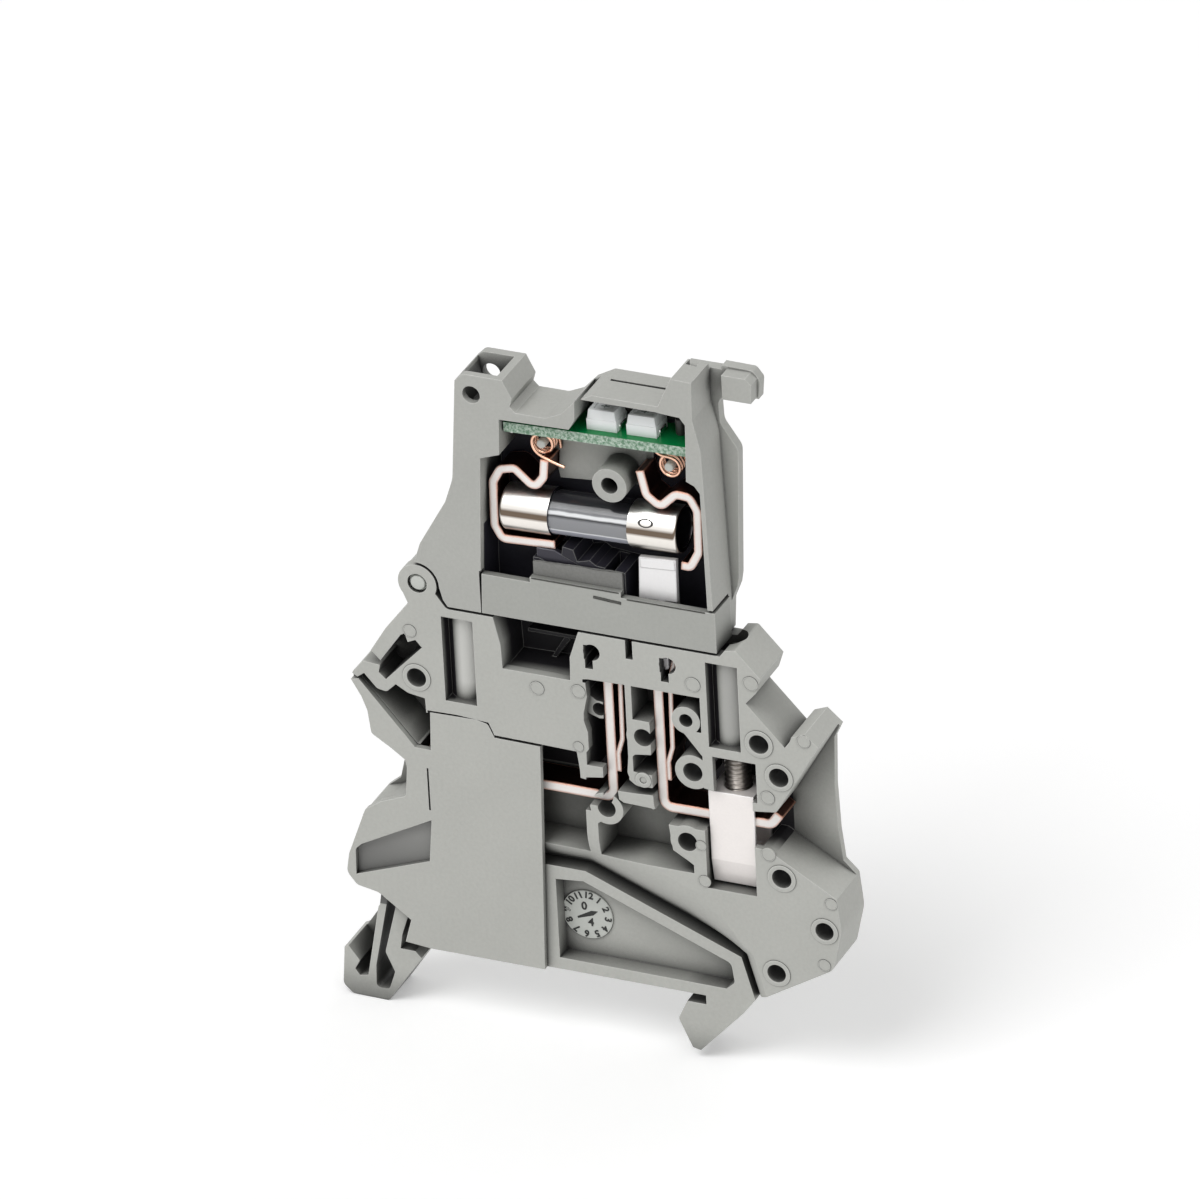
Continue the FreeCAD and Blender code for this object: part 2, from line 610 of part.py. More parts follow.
def lever_interior():
    """Boss, cradle ribs and clip supports that stand on the lever's back wall."""
    boss = disc(boss_x, boss_z, boss_radius, front + 0.6, web_front + 0.1)
    cradle = slab([(-0.2, 43.0), (10.6, 43.0), (10.6, 49.3), (7.3, 49.6), (6.6, 50.1), (5.2, 49.7), (4.8, 51.0),
                   (3.6, 51.2), (3.3, 49.4), (0.2, 49.4)], -1.9, web_front + 0.1)
    left_post = slab([(-5.6, 50.2), (-4.4, 50.0), (-2.0, 49.6), (-0.2, 49.6), (-0.2, 43.0), (-5.6, 43.0)],
                     1.5, web_front + 0.1)
    light_wall = slab([(1.5, 61.6, 0.8), (3.0, 65.0), (13.2, 65.4), (13.0, 60.2), (12.2, 58.4), (2.4, 57.6)],
                      1.2, web_front + 0.1)
    return [boss, cradle, left_post, light_wall]


def blade_slots():
    """Slots in the lever's floor for the two blades."""
    cuts = []
    for x in (left_upright_x, right_upright_x):
        middle = x + busbar_thickness / 2 + blade_gap + blade_thickness / 2
        cuts.append(block(middle - 0.55, middle + 0.55, -busbar_half_width - 0.2, busbar_half_width + 0.2,
                          housing_top, 50.5))
    return cuts


def lever_seats():
    """Seats in the lever's walls for the board, the fuse and the clips."""
    half = board_length / 2 + seat_gap
    thick = board_thickness / 2 + seat_gap
    board = block(board_x - half, board_x + half, front - 1, board_half_width + seat_gap,
                  board_z - thick, board_z + thick)
    fuse = fuse_tube(fuse_radius + seat_gap * 2, -fuse_length / 2 - 0.3, fuse_length / 2 + 0.3)
    seats = [turned(board, board_x, board_z, board_tilt), fuse]
    for path in (left_clip_path(), right_clip_path()):
        seats.append(bent_strip(path, clip_thickness + 0.2, 0.75, front - 1, clip_half_width + seat_gap))
    for points in (left_strap(), right_strap()):
        seats.append(slab(points, front - 1, -busbar_half_width + strap_thickness))
    return seats


def make_lever_body():
    body = slab(lever_outline(), front, back)
    body = body.fuse(lever_flange())
    body = body.fuse(lever_grip())
    body = body.cut(lever_cavity())
    body = join(body, lever_interior())
    body = body.cut(ear_hollow())
    body = body.cut(disc(-5.3, 68.2, 1.0, front - 1, back + 1))
    body = body.cut(disc(boss_x, boss_z, boss_hole_radius, front - 1, web_front - 0.2))
    body = cut(body, blade_slots())
    body = cut(body, lever_seats())
    marker_groove = block(8.9, 15.2, 0.5, 0.9, lever_top - 0.4, lever_top + 1)
    grip_hole = block(17.6, 18.8, 0.4, 1.7, 72.4, 75)
    top_step = block(15.5, 21.0, back - 1.6, back + 1, 73.2, 75)
    body = cut(body, [marker_groove, grip_hole, top_step])
    strip_seat = block(-5.6, lever_right + 1, front - 1, front + lever_strip_thickness + seat_gap,
                       lever_bottom - 1, lever_strip_top + lever_gap)
    return_seat = block(lever_right - return_thickness - seat_gap, lever_right + 1, front - 1,
                        return_depth + seat_gap, lever_bottom - 1, lever_strip_top + lever_gap)
    body = cut(body, [strip_seat, return_seat])
    relief = lug_radius + lever_relief_gap
    neck = [(-15.0, pivot_z), (-10.3, pivot_z), (-9.9, 43.0), (-9.2, 42.0), (-15.0, 42.0)]
    near_layer = front + lug_thickness + 0.15
    far_layer = back - lug_thickness - 0.15
    body = cut(body, [disc(pivot_x, pivot_z, relief, front - 1, near_layer), slab(neck, front - 1, near_layer),
                      disc(pivot_x, pivot_z, relief, far_layer, back + 1), slab(neck, far_layer, back + 1)])
    arm = disc(pivot_x, pivot_z, lug_radius - 0.1, front + lug_thickness + 0.15, back - lug_thickness - 0.15)
    body = body.fuse(arm)
    body = body.cut(disc(pivot_x, pivot_z, pin_radius + pin_gap, front - 1, back + 1))
    return body.removeSplitter()


def make_lever_cover():
    """The strip left of the lever's near side, with its return round the right end."""
    top = lever_strip_top
    strip = slab([(-5.5, lever_bottom), (-5.3, top), (0.2, top), (0.2, top + 0.6), (10.5, top + 0.6), (10.5, top),
                  (lever_right - 0.2, top), (lever_right, lever_bottom)], front, front + lever_strip_thickness)
    side = block(lever_right - return_thickness, lever_right + 0.1, front, return_depth, lever_bottom, top)
    return join(strip, [side])


def make_lever_pin():
    return disc(pivot_x, pivot_z, pin_radius, front + 0.1, back - 0.1)


# Fuse, clips and blades

def fuse_tube(radius, low, high):
    """Cylinder along the fuse's axis, from low to high measured from its middle."""
    tube = Part.makeCylinder(radius, high - low, at(fuse_x + low, fuse_z), FreeCAD.Vector(1, 0, 0))
    return turned(tube, fuse_x, fuse_z, fuse_tilt)


def make_cap(side):
    half = fuse_length / 2
    inner = half - cap_length
    low, high = (inner, half) if side > 0 else (-half, -inner)
    hollow_low, hollow_high = (inner - 1, half - 0.4) if side > 0 else (-half + 0.4, -inner + 1)
    return fuse_tube(fuse_radius, low, high).cut(fuse_tube(fuse_radius - cap_thickness, hollow_low, hollow_high))


def make_glass():
    half = fuse_length / 2 - 0.45
    outer = fuse_tube(fuse_radius - cap_thickness, -half, half)
    return outer.cut(fuse_tube(fuse_radius - cap_thickness - 0.6, -half - 1, half + 1))


def make_fuse_wire():
    """Flat melting strip along the fuse's axis."""
    half = fuse_length / 2 - 0.4
    strip = block(fuse_x - half, fuse_x + half, -0.2, 0.2, fuse_z - 0.07, fuse_z + 0.07)
    return turned(strip, fuse_x, fuse_z, fuse_tilt)


def make_clip(path):
    return bent_strip(path, clip_thickness, 0.75, -clip_half_width, clip_half_width)


def left_clip_path():
    end = fuse_x - fuse_length / 2
    return [(end + 5.1, fuse_z + 6.6), (end + 4.9, fuse_z + 4.6), (end + 3.8, fuse_z + 3.15),
            (end + 1.6, fuse_z + 5.1), (end, fuse_z + 4.7), (end - 0.9, fuse_z + 3.1), (end - 1.0, fuse_z - 2.1),
            (end - 0.2, fuse_z - 3.55), (end + 5.8, fuse_z - 3.25)]


def right_clip_path():
    end = fuse_x + fuse_length / 2
    return [(end - 4.1, fuse_z + 7.3), (end - 3.5, fuse_z + 4.6), (end - 2.0, fuse_z + 3.45),
            (end - 0.2, fuse_z + 5.2), (end + 1.4, fuse_z + 5.1), (end + 2.2, fuse_z + 3.6), (end + 2.1, fuse_z - 1.3),
            (end + 1.1, fuse_z - 3.2), (end + 0.1, fuse_z - 3.1)]


def left_strap():
    return [(9.2, 46.0), (8.5, 46.0), (0.6, 49.5), (0.6, 50.5), (2.6, 50.5), (9.2, 47.6)]


def right_strap():
    return [(12.0, 46.6), (16.3, 46.8), (16.4, 51.8), (12.2, 51.5)]


def make_blade(x, strip_points):
    """Blade that plugs in beside a busbar's upright, with the strap to its clip."""
    low_x = x + busbar_thickness / 2 + blade_gap
    high_x = low_x + blade_thickness
    blade = block(low_x, high_x, -busbar_half_width, busbar_half_width, blade_tip, 47.0)
    tip = slab([(low_x - 1, blade_tip - 1), (high_x + 1, blade_tip - 1), (high_x + 1, blade_tip + 0.9),
                (high_x - 0.3, blade_tip), (low_x + 0.3, blade_tip), (low_x - 1, blade_tip + 1.6)],
               -busbar_half_width - 1, busbar_half_width + 1)
    strap = slab(strip_points, -busbar_half_width, -busbar_half_width + strap_thickness)
    return join(blade.cut(tip), [strap])


# Board, lamps and coils

def make_board():
    half = board_length / 2
    board = block(board_x - half, board_x + half, -board_half_width, board_half_width,
                  board_z - board_thickness / 2, board_z + board_thickness / 2)
    return turned(board, board_x, board_z, board_tilt)


def make_led(offset):
    low = board_z + board_thickness / 2
    base = block(board_x + offset - led_length / 2, board_x + offset + led_length / 2,
                 -led_half_width, led_half_width, low, low + led_height * 0.55)
    lens = block(board_x + offset - led_length * 0.42, board_x + offset + led_length * 0.42,
                 -led_half_width * 0.92, led_half_width * 0.92, low + led_height * 0.5, low + led_height)
    return turned(base.fuse(lens).removeSplitter(), board_x, board_z, board_tilt)


def make_coil(x, z, turns, legs):
    """Wire coil that winds clockwise from its top. Its legs reach the board above and the clip below."""
    points = [legs[0]]
    for step in range(round(turns * coil_steps) + 1):
        angle = math.pi / 2 - 2 * math.pi * step / coil_steps
        depth = coil_pitch * (step / coil_steps - turns / 2)
        points.append(at(x + coil_radius * math.cos(angle), z + coil_radius * math.sin(angle), depth))
    points.append(legs[1])
    path = Part.makePolygon(points)
    along = (points[1] - points[0]).normalize()
    across = along.cross(FreeCAD.Vector(0, 1, 0)).normalize() * (coil_wire / 2)
    over = along.cross(across).normalize() * (coil_wire / 2)
    corners = [points[0] + across + over, points[0] - across + over, points[0] - across - over,
               points[0] + across - over]
    section = Part.makePolygon(corners + corners[:1])
    return path.makePipeShell([section], True, False, 1)


pieces = {
    "housing": make_housing(),
    "left_cover": make_left_cover(),
    "left_busbar": make_busbar(left_upright_x, left_clamp_x),
    "right_busbar": make_busbar(right_upright_x, right_clamp_x),
    "left_contact_spring": make_contact_spring(left_upright_x),
    "right_contact_spring": make_contact_spring(right_upright_x),
    "left_clamp_sleeve": make_sleeve(left_clamp_x),
    "right_clamp_sleeve": make_sleeve(right_clamp_x),
    "left_clamp_screw": make_clamp_screw(left_clamp_x),
    "right_clamp_screw": make_clamp_screw(right_clamp_x),
    "lever_body": make_lever_body(),
    "lever_cover": make_lever_cover(),
    "lever_pin": make_lever_pin(),
    "fuse_glass": make_glass(),
    "fuse_wire": make_fuse_wire(),
    "fuse_cap_left": make_cap(-1),
    "fuse_cap_right": make_cap(1),
    "left_fuse_clip": make_clip(left_clip_path()),
    "right_fuse_clip": make_clip(right_clip_path()),
    "left_blade_contact": make_blade(left_upright_x, left_strap()),
    "right_blade_contact": make_blade(right_upright_x, right_strap()),
    "circuit_board": make_board(),
    "led_left": make_led(0.5),
    "led_right": make_led(5.0),
    "left_coil_spring": make_coil(1.4, 62.5, 3.25, (at(0.1, 63.75, -1.0), at(2.7, 61.3, 0.95))),
    "right_coil_spring": make_coil(15.8, 62.3, 3.5, (at(14.5, 63.8, -1.05), at(14.5, 60.9, 1.05))),
}

os.makedirs("parts", exist_ok=True)
for name, shape in pieces.items():
    shape.exportStep("parts/" + name + ".step")
    print(name, len(shape.Solids), round(shape.Volume, 2), shape.isValid())
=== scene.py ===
import bpy
import bmesh
import math
from mathutils import Matrix, Vector


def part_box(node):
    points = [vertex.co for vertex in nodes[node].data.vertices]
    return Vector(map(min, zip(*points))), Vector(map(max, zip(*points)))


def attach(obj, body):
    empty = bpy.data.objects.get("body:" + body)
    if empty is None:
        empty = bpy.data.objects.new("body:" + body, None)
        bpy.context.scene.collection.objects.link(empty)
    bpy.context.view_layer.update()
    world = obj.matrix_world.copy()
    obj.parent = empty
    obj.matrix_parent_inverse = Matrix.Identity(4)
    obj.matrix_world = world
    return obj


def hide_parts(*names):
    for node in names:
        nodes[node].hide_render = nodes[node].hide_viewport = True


mm = 0.001
alongX = (0, math.pi / 2, 0)
alongY = (math.pi / 2, 0, 0)
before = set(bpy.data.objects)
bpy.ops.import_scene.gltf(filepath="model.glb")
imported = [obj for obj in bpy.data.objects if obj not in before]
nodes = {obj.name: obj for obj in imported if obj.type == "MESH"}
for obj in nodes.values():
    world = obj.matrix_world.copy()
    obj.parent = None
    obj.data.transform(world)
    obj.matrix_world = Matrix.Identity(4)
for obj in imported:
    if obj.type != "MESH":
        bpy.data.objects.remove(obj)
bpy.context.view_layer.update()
print("frame loaded,", len(nodes), "solids")


# Selecting, editing and finishing. Sizes and places are in millimetres, and become metres here.

def deselectAll():
    if bpy.context.object is not None and bpy.context.object.mode != "OBJECT":
        bpy.ops.object.mode_set(mode="OBJECT")
    bpy.ops.object.select_all(action="DESELECT")


def makeActive(piece):
    deselectAll()
    piece.select_set(True)
    bpy.context.view_layer.objects.active = piece


def editAll(piece):
    # edit mode, with the whole mesh selected
    makeActive(piece)
    bpy.ops.object.mode_set(mode="EDIT")
    bpy.ops.mesh.select_all(action="SELECT")


def editFaces(piece, wanted):
    # edit mode, with only the faces that wanted() picks
    makeActive(piece)
    bpy.ops.object.mode_set(mode="EDIT")
    bpy.ops.mesh.select_mode(type="FACE")
    bpy.ops.mesh.select_all(action="DESELECT")
    mesh = bmesh.from_edit_mesh(piece.data)
    for face in mesh.faces:
        face.select_set(wanted(face))
    bmesh.update_edit_mesh(piece.data)


def endEdit():
    bpy.ops.object.mode_set(mode="OBJECT")


def insetFaces(width):
    bpy.ops.mesh.inset(thickness=width * mm)


def pushFaces(x, y, z):
    bpy.ops.mesh.extrude_region_move(TRANSFORM_OT_translate={"value": (x * mm, y * mm, z * mm)})


def applyModifier(piece, kind, **values):
    makeActive(piece)
    bpy.ops.object.modifier_add(type=kind)
    modifier = piece.modifiers[-1]
    for key, value in values.items():
        setattr(modifier, key, value)
    bpy.ops.object.modifier_apply(modifier=modifier.name)


def roundEdges(piece, width, segments=2, angle=50):
    applyModifier(piece, "BEVEL", width=width * mm, segments=segments, limit_method="ANGLE",
                  angle_limit=math.radians(angle))


def settle(piece):
    # the place goes into the mesh, and the object stays at the origin
    makeActive(piece)
    bpy.ops.object.transform_apply(location=True, rotation=True, scale=True)


def addBox(middle, size):
    deselectAll()
    bpy.ops.mesh.primitive_cube_add(size=1, location=Vector(middle) * mm, scale=Vector(size) * mm)
    box = bpy.context.object
    settle(box)
    return box


def addRod(middle, radius, length, turn=(0, 0, 0), sides=64):
    deselectAll()
    bpy.ops.mesh.primitive_cylinder_add(vertices=sides, radius=radius * mm, depth=length * mm,
                                        location=Vector(middle) * mm, rotation=turn)
    rod = bpy.context.object
    settle(rod)
    return rod


def copyOf(piece):
    makeActive(piece)
    bpy.ops.object.duplicate(linked=False)
    return bpy.context.object


def removePiece(piece):
    makeActive(piece)
    bpy.ops.object.delete()


def joinPieces(pieces):
    for piece in pieces:
        settle(piece)
    deselectAll()
    for piece in pieces:
        piece.select_set(True)
    bpy.context.view_layer.objects.active = pieces[0]
    bpy.ops.object.join()
    return pieces[0]


def placeAt(piece, middle, tilt):
    # from a piece's own frame to its place in the block, turned in the block's plane
    settle(piece)
    piece.location = Vector(middle) * mm
    piece.rotation_euler = (0, -math.radians(tilt), 0)
    settle(piece)
    return piece


def finishPiece(piece, name, body, material, smoothAngle=35):
    settle(piece)
    bpy.ops.object.shade_smooth_by_angle(angle=math.radians(smoothAngle))
    piece.name = name
    piece.data.name = name
    piece.data.materials.clear()
    piece.data.materials.append(material)
    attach(piece, body)


def boxOf(node):
    low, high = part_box(node)
    return low / mm, high / mm


def middleOf(node):
    low, high = boxOf(node)
    return (low + high) / 2


# Shader helpers

def connect(tree, source, target):
    # a socket is linked, and a plain value is set
    if isinstance(source, bpy.types.NodeSocket):
        tree.links.new(source, target)
    else:
        target.default_value = source


def mathNode(tree, operation, first, second):
    node = tree.nodes.new("ShaderNodeMath")
    node.operation = operation
    connect(tree, first, node.inputs[0])
    connect(tree, second, node.inputs[1])
    return node.outputs[0]


def vectorNode(tree, operation, first, second):
    node = tree.nodes.new("ShaderNodeVectorMath")
    node.operation = operation
    connect(tree, first, node.inputs[0])
    connect(tree, second, node.inputs[1])
    return node.outputs["Value" if operation == "DOT_PRODUCT" else "Vector"]


def mixColour(tree, factor, first, second, blend="MIX"):
    node = tree.nodes.new("ShaderNodeMix")
    node.data_type = "RGBA"
    node.blend_type = blend
    connect(tree, factor, node.inputs[0])
    connect(tree, first, node.inputs[6])
    connect(tree, second, node.inputs[7])
    return node.outputs[2]


def spread(tree, value, low, high, outLow=0.0, outHigh=1.0):
    node = tree.nodes.new("ShaderNodeMapRange")
    node.clamp = True
    connect(tree, value, node.inputs["Value"])
    connect(tree, low, node.inputs["From Min"])
    connect(tree, high, node.inputs["From Max"])
    connect(tree, outLow, node.inputs["To Min"])
    connect(tree, outHigh, node.inputs["To Max"])
    return node.outputs["Result"]


def facing(tree, direction):
    # how far the surface looks in a direction of the block, from -1 to 1
    normal = tree.nodes.new("ShaderNodeTexCoord").outputs["Normal"]
    return vectorNode(tree, "DOT_PRODUCT", normal, direction)


def noise(tree, scale, detail=3.0, roughness=0.55):
    node = tree.nodes.new("ShaderNodeTexNoise")
    place = tree.nodes.new("ShaderNodeTexCoord").outputs["Object"]
    connect(tree, place, node.inputs["Vector"])
    connect(tree, scale, node.inputs["Scale"])
    node.inputs["Detail"].default_value = detail
    node.inputs["Roughness"].default_value = roughness
    return node.outputs["Fac"]


def newGroup(name, inputs, outputs):
    group = bpy.data.node_groups.new(name, "ShaderNodeTree")
    for label, kind, value in inputs:
        socket = group.interface.new_socket(name=label, in_out="INPUT", socket_type=kind)
        socket.default_value = value
    for label, kind in outputs:
        group.interface.new_socket(name=label, in_out="OUTPUT", socket_type=kind)
    start = group.nodes.new("NodeGroupInput")
    end = group.nodes.new("NodeGroupOutput")
    return group, start, end


def useGroup(tree, group, **values):
    node = tree.nodes.new("ShaderNodeGroup")
    node.node_tree = group
    for key, value in values.items():
        connect(tree, value, node.inputs[key])
    return node


# Shared effects

effects = {
    "fineShare": 0.6,
    "blotchShare": 0.4,
    "edgeSamples": 6,
    "edgeStart": 0.998,
    "edgeFull": 0.88,
    "hollowSamples": 12,
    "sharpFade": 0.05,
}


def makeGrainGroup():
    # fine spark-eroded mould texture with slow blotches over it
    group, start, end = newGroup(
        "surfaceGrain",
        [("Fine", "NodeSocketFloat", 4500.0), ("Blotch", "NodeSocketFloat", 120.0),
         ("Amount", "NodeSocketFloat", 0.05)],
        [("Tint", "NodeSocketFloat"), ("Height", "NodeSocketFloat")])
    fine = noise(group, start.outputs["Fine"], detail=2.0)
    blotch = noise(group, start.outputs["Blotch"], detail=2.0)
    both = mathNode(group, "ADD", mathNode(group, "MULTIPLY", fine, effects["fineShare"]),
                    mathNode(group, "MULTIPLY", blotch, effects["blotchShare"]))
    swing = mathNode(group, "MULTIPLY", mathNode(group, "SUBTRACT", both, 0.5), start.outputs["Amount"])
    tint = mathNode(group, "ADD", mathNode(group, "MULTIPLY", swing, 2.0), 1.0)
    connect(group, tint, end.inputs["Tint"])
    connect(group, fine, end.inputs["Height"])
    return group


def makeEdgeGroup():
    # rounds sharp edges in the shading, and marks them; the mark places the painted edge highlights of the
    # mouldings and the rim tones of the metals
    group, start, end = newGroup(
        "softEdges", [("Radius", "NodeSocketFloat", 0.12 * mm)],
        [("Normal", "NodeSocketVector"), ("Edge", "NodeSocketFloat")])
    bevel = group.nodes.new("ShaderNodeBevel")
    bevel.samples = effects["edgeSamples"]
    connect(group, start.outputs["Radius"], bevel.inputs["Radius"])
    flat = group.nodes.new("ShaderNodeNewGeometry").outputs["True Normal"]
    same = vectorNode(group, "DOT_PRODUCT", bevel.outputs["Normal"], flat)
    connect(group, bevel.outputs["Normal"], end.inputs["Normal"])
    connect(group, spread(group, same, effects["edgeStart"], effects["edgeFull"]), end.inputs["Edge"])
    return group


def makeHollowGroup():
    # how closed in a place is: 0 in the open, 1 deep in a hole; the mouldings use it for painted shade
    group, start, end = newGroup(
        "closedIn",
        [("Reach", "NodeSocketFloat", 2.5 * mm), ("Open", "NodeSocketFloat", 0.8),
         ("Closed", "NodeSocketFloat", 0.4)],
        [("Depth", "NodeSocketFloat")])
    node = group.nodes.new("ShaderNodeAmbientOcclusion")
    node.samples = effects["hollowSamples"]
    connect(group, start.outputs["Reach"], node.inputs["Distance"])
    depth = spread(group, node.outputs["AO"], start.outputs["Closed"], start.outputs["Open"], 1.0, 0.0)
    connect(group, depth, end.inputs["Depth"])
    return group


def makeZoneGroup():
    # 1 inside a box of the block, fading in over Fade on the box's low sides
    sharp = [effects["sharpFade"] * mm] * 3
    group, start, end = newGroup(
        "zone", [("Low", "NodeSocketVector", (0, 0, 0)), ("High", "NodeSocketVector", (0, 0, 0)),
                 ("Fade", "NodeSocketVector", sharp)],
        [("Mask", "NodeSocketFloat")])
    place = group.nodes.new("ShaderNodeTexCoord").outputs["Object"]
    rise = vectorNode(group, "DIVIDE", vectorNode(group, "SUBTRACT", place, start.outputs["Low"]),
                      start.outputs["Fade"])
    fall = vectorNode(group, "DIVIDE", vectorNode(group, "SUBTRACT", start.outputs["High"], place), sharp)
    both = vectorNode(group, "MINIMUM", rise, fall)
    held = vectorNode(group, "MAXIMUM", vectorNode(group, "MINIMUM", both, (1, 1, 1)), (0, 0, 0))
    parts = group.nodes.new("ShaderNodeSeparateXYZ")
    connect(group, held, parts.inputs[0])
    flat = mathNode(group, "MULTIPLY", parts.outputs[0], parts.outputs[1])
    connect(group, mathNode(group, "MULTIPLY", flat, parts.outputs[2]), end.inputs["Mask"])
    return group


grainGroup = makeGrainGroup()
edgeGroup = makeEdgeGroup()
hollowGroup = makeHollowGroup()
zoneGroup = makeZoneGroup()


# Materials

def newMaterial(name):
    material = bpy.data.materials.new(name)
    material.use_nodes = True
    tree = material.node_tree
    return material, tree, tree.nodes["Principled BSDF"]


def grained(tree, colour, grain):
    return mixColour(tree, 1.0, colour, grain.outputs["Tint"], "MULTIPLY")


def bumpBy(tree, shader, grain, depth, normal):
    bump = tree.nodes.new("ShaderNodeBump")
    bump.inputs["Distance"].default_value = depth * mm
    connect(tree, grain.outputs["Height"], bump.inputs["Height"])
    connect(tree, normal, bump.inputs["Normal"])
    connect(tree, bump.outputs["Normal"], shader.inputs["Normal"])


mouldingLook = {
    "edgeHighlightGrey": (0.72, 0.725, 0.69, 1),
    "edgeHighlightShare": 0.8,
    "edgeRadius": 0.15,
    "shadow": (0.022, 0.022, 0.021, 1),
    "shadowShare": 0.95,
    "hollowReach": 5.0,
    "hollowClosed": 0.3,
    "creaseReach": 0.45,
    "creaseShare": 0.75,
    "shadeEdgeHighlightShare": 0.4,
    "roughness": 0.55,
    "specular": 0.35,
    "grain": 0.13,
    "grainScale": 2600.0,
    "grainDepth": 0.02,
}
housingGrey = (0.475, 0.478, 0.448, 1)
leverGrey = (0.435, 0.438, 0.412, 1)
stripGrey = (0.39, 0.395, 0.37, 1)
chamberShade = (0.012, 0.011, 0.013, 1)
leverCavityShade = (0.016, 0.015, 0.022, 1)

# places of painted shade, nearly black: low corner, high corner, depth of the fade, all in mm
housingPaintedShade = {
    "contactChamber": ((-14.0, -2.2, 22.5), (20.1, 2.6, 32.2), 2.2),
    "leftUprightPocket": ((5.3, -2.2, 32.2), (10.6, 2.6, 41.6), 2.0),
    "rightUprightPocket": ((12.9, -0.5, 32.2), (15.9, 2.6, 41.6), 1.8),
    "besideRightUpright": ((15.9, 0.8, 32.2), (18.95, 2.6, 36.7), 1.2),
    "clampRoom": ((17.8, -2.3, 13.6), (26.6, 2.6, 30.0), 2.4),
    "socket": ((-4.5, -2.4, 35.4), (5.7, 2.6, 42.1), 2.0),
    "leftKeyhole": ((5.7, -2.9, 37.7), (8.0, 2.6, 40.9), 0.8),
    "rightKeyhole": ((14.3, -2.9, 37.7), (16.6, 2.6, 40.9), 0.8),
    "besideLeftTube": ((-10.4, -2.7, 30.8), (-9.5, 2.6, 41.1), 0.5),
    "besideRightTube": ((19.6, -2.7, 30.8), (20.5, 2.6, 41.1), 0.5),
}
leverPaintedShade = {
    "backWall": ((-5.6, 1.35, 42.0), (20.4, 2.6, 66.1), 0.1),
    "fuseBed": ((-5.6, -2.35, 42.0), (20.4, 2.6, 52.6), 0.25),
    "besideFuse": ((-5.6, -1.6, 52.6), (20.4, 2.6, 57.3), 2.4),
}
# places of painted light and shade: low corner, high corner, fade on each axis in mm, and the grey painted
# there
housingPaintedLightAndShade = {
    "leftTubeHighlight": ((-9.4, -2.7, 31.4), (-6.9, 2.6, 41.1), (0.8, 0.05, 1.6), (0.62, 0.62, 0.59, 1)),
    "leftFunnelShade": ((-22.6, -2.95, 4.0), (-13.0, 2.6, 15.5), (0.8, 0.3, 0.05), (0.13, 0.13, 0.125, 1)),
    "leftFunnelLight": ((-22.6, -2.95, 7.2), (-13.0, 2.6, 15.5), (0.8, 0.3, 6.0), (0.26, 0.26, 0.25, 1)),
    "rightTubePaintedLight": ((20.7, -2.7, 31.2), (23.1, 2.6, 41.1), (0.8, 0.05, 1.2), (0.43, 0.43, 0.41, 1)),
}


def paintPlace(tree, colour, low, high, fade, tone):
    mask = useGroup(tree, zoneGroup, Low=Vector(low) * mm, High=Vector(high) * mm, Fade=Vector(fade) * mm)
    return mixColour(tree, mask.outputs["Mask"], colour, tone)


def makeMoulding(name, grey, openness, paintedShadePlaces={}, dark=chamberShade, paintedLightAndShadePlaces={}):
    look = mouldingLook
    sharp = effects["sharpFade"]
    material, tree, shader = newMaterial(name)
    grain = useGroup(tree, grainGroup, Fine=look["grainScale"], Amount=look["grain"])
    edges = useGroup(tree, edgeGroup, Radius=look["edgeRadius"] * mm)
    hollow = useGroup(tree, hollowGroup, Reach=look["hollowReach"] * mm, Open=openness,
                      Closed=look["hollowClosed"])
    crease = useGroup(tree, hollowGroup, Reach=look["creaseReach"] * mm)
    # painted highlight: a lighter grey along the edges
    edge = mathNode(tree, "MULTIPLY", edges.outputs["Edge"], look["edgeHighlightShare"])
    # painted highlight on the edges inside the places of painted shade
    shadeEdgeHighlight = mathNode(tree, "MULTIPLY", edges.outputs["Edge"], look["shadeEdgeHighlightShare"])
    # painted shade in narrow creases and corners
    creaseShade = mathNode(tree, "MULTIPLY", crease.outputs["Depth"], look["creaseShare"])
    # painted shade that deepens in hollows and holes
    depth = mathNode(tree, "MULTIPLY", hollow.outputs["Depth"], look["shadowShare"])
    colour = mixColour(tree, edge, grained(tree, grey, grain), look["edgeHighlightGrey"])
    colour = mixColour(tree, creaseShade, colour, look["shadow"])
    colour = mixColour(tree, depth, colour, look["shadow"])
    # painted shade: nearly black in deep chambers and pockets, with its edges painted lighter
    paintedShadeTone = mixColour(tree, shadeEdgeHighlight, dark, grey)
    for low, high, fade in paintedShadePlaces.values():
        colour = paintPlace(tree, colour, low, high, (sharp, fade, sharp), paintedShadeTone)
    # painted highlights in the tube windows, and painted shade in the left funnel that lightens upwards
    for low, high, fade, tone in paintedLightAndShadePlaces.values():
        colour = paintPlace(tree, colour, low, high, fade, tone)
    connect(tree, colour, shader.inputs["Base Color"])
    bumpBy(tree, shader, grain, look["grainDepth"], edges.outputs["Normal"])
    shader.inputs["Roughness"].default_value = look["roughness"]
    shader.inputs["Specular IOR Level"].default_value = look["specular"]
    return material


copperLook = {
    "side": (0.10, 0.045, 0.035, 1),
    "cutFaceHighlight": (0.88, 0.84, 0.81, 1),
    "rim": (0.78, 0.42, 0.31, 1),
    "rimWidth": 0.42,
    "faceStart": 0.75,
    "faceFull": 0.95,
    "sideMetallic": 1.0,
    "faceMetallic": 0.35,
    "sideRoughness": 0.32,
    "faceRoughness": 0.5,
    "grain": 0.08,
    "grainScale": 6000.0,
    "blotchScale": 500.0,
    "grainDepth": 0.01,
}


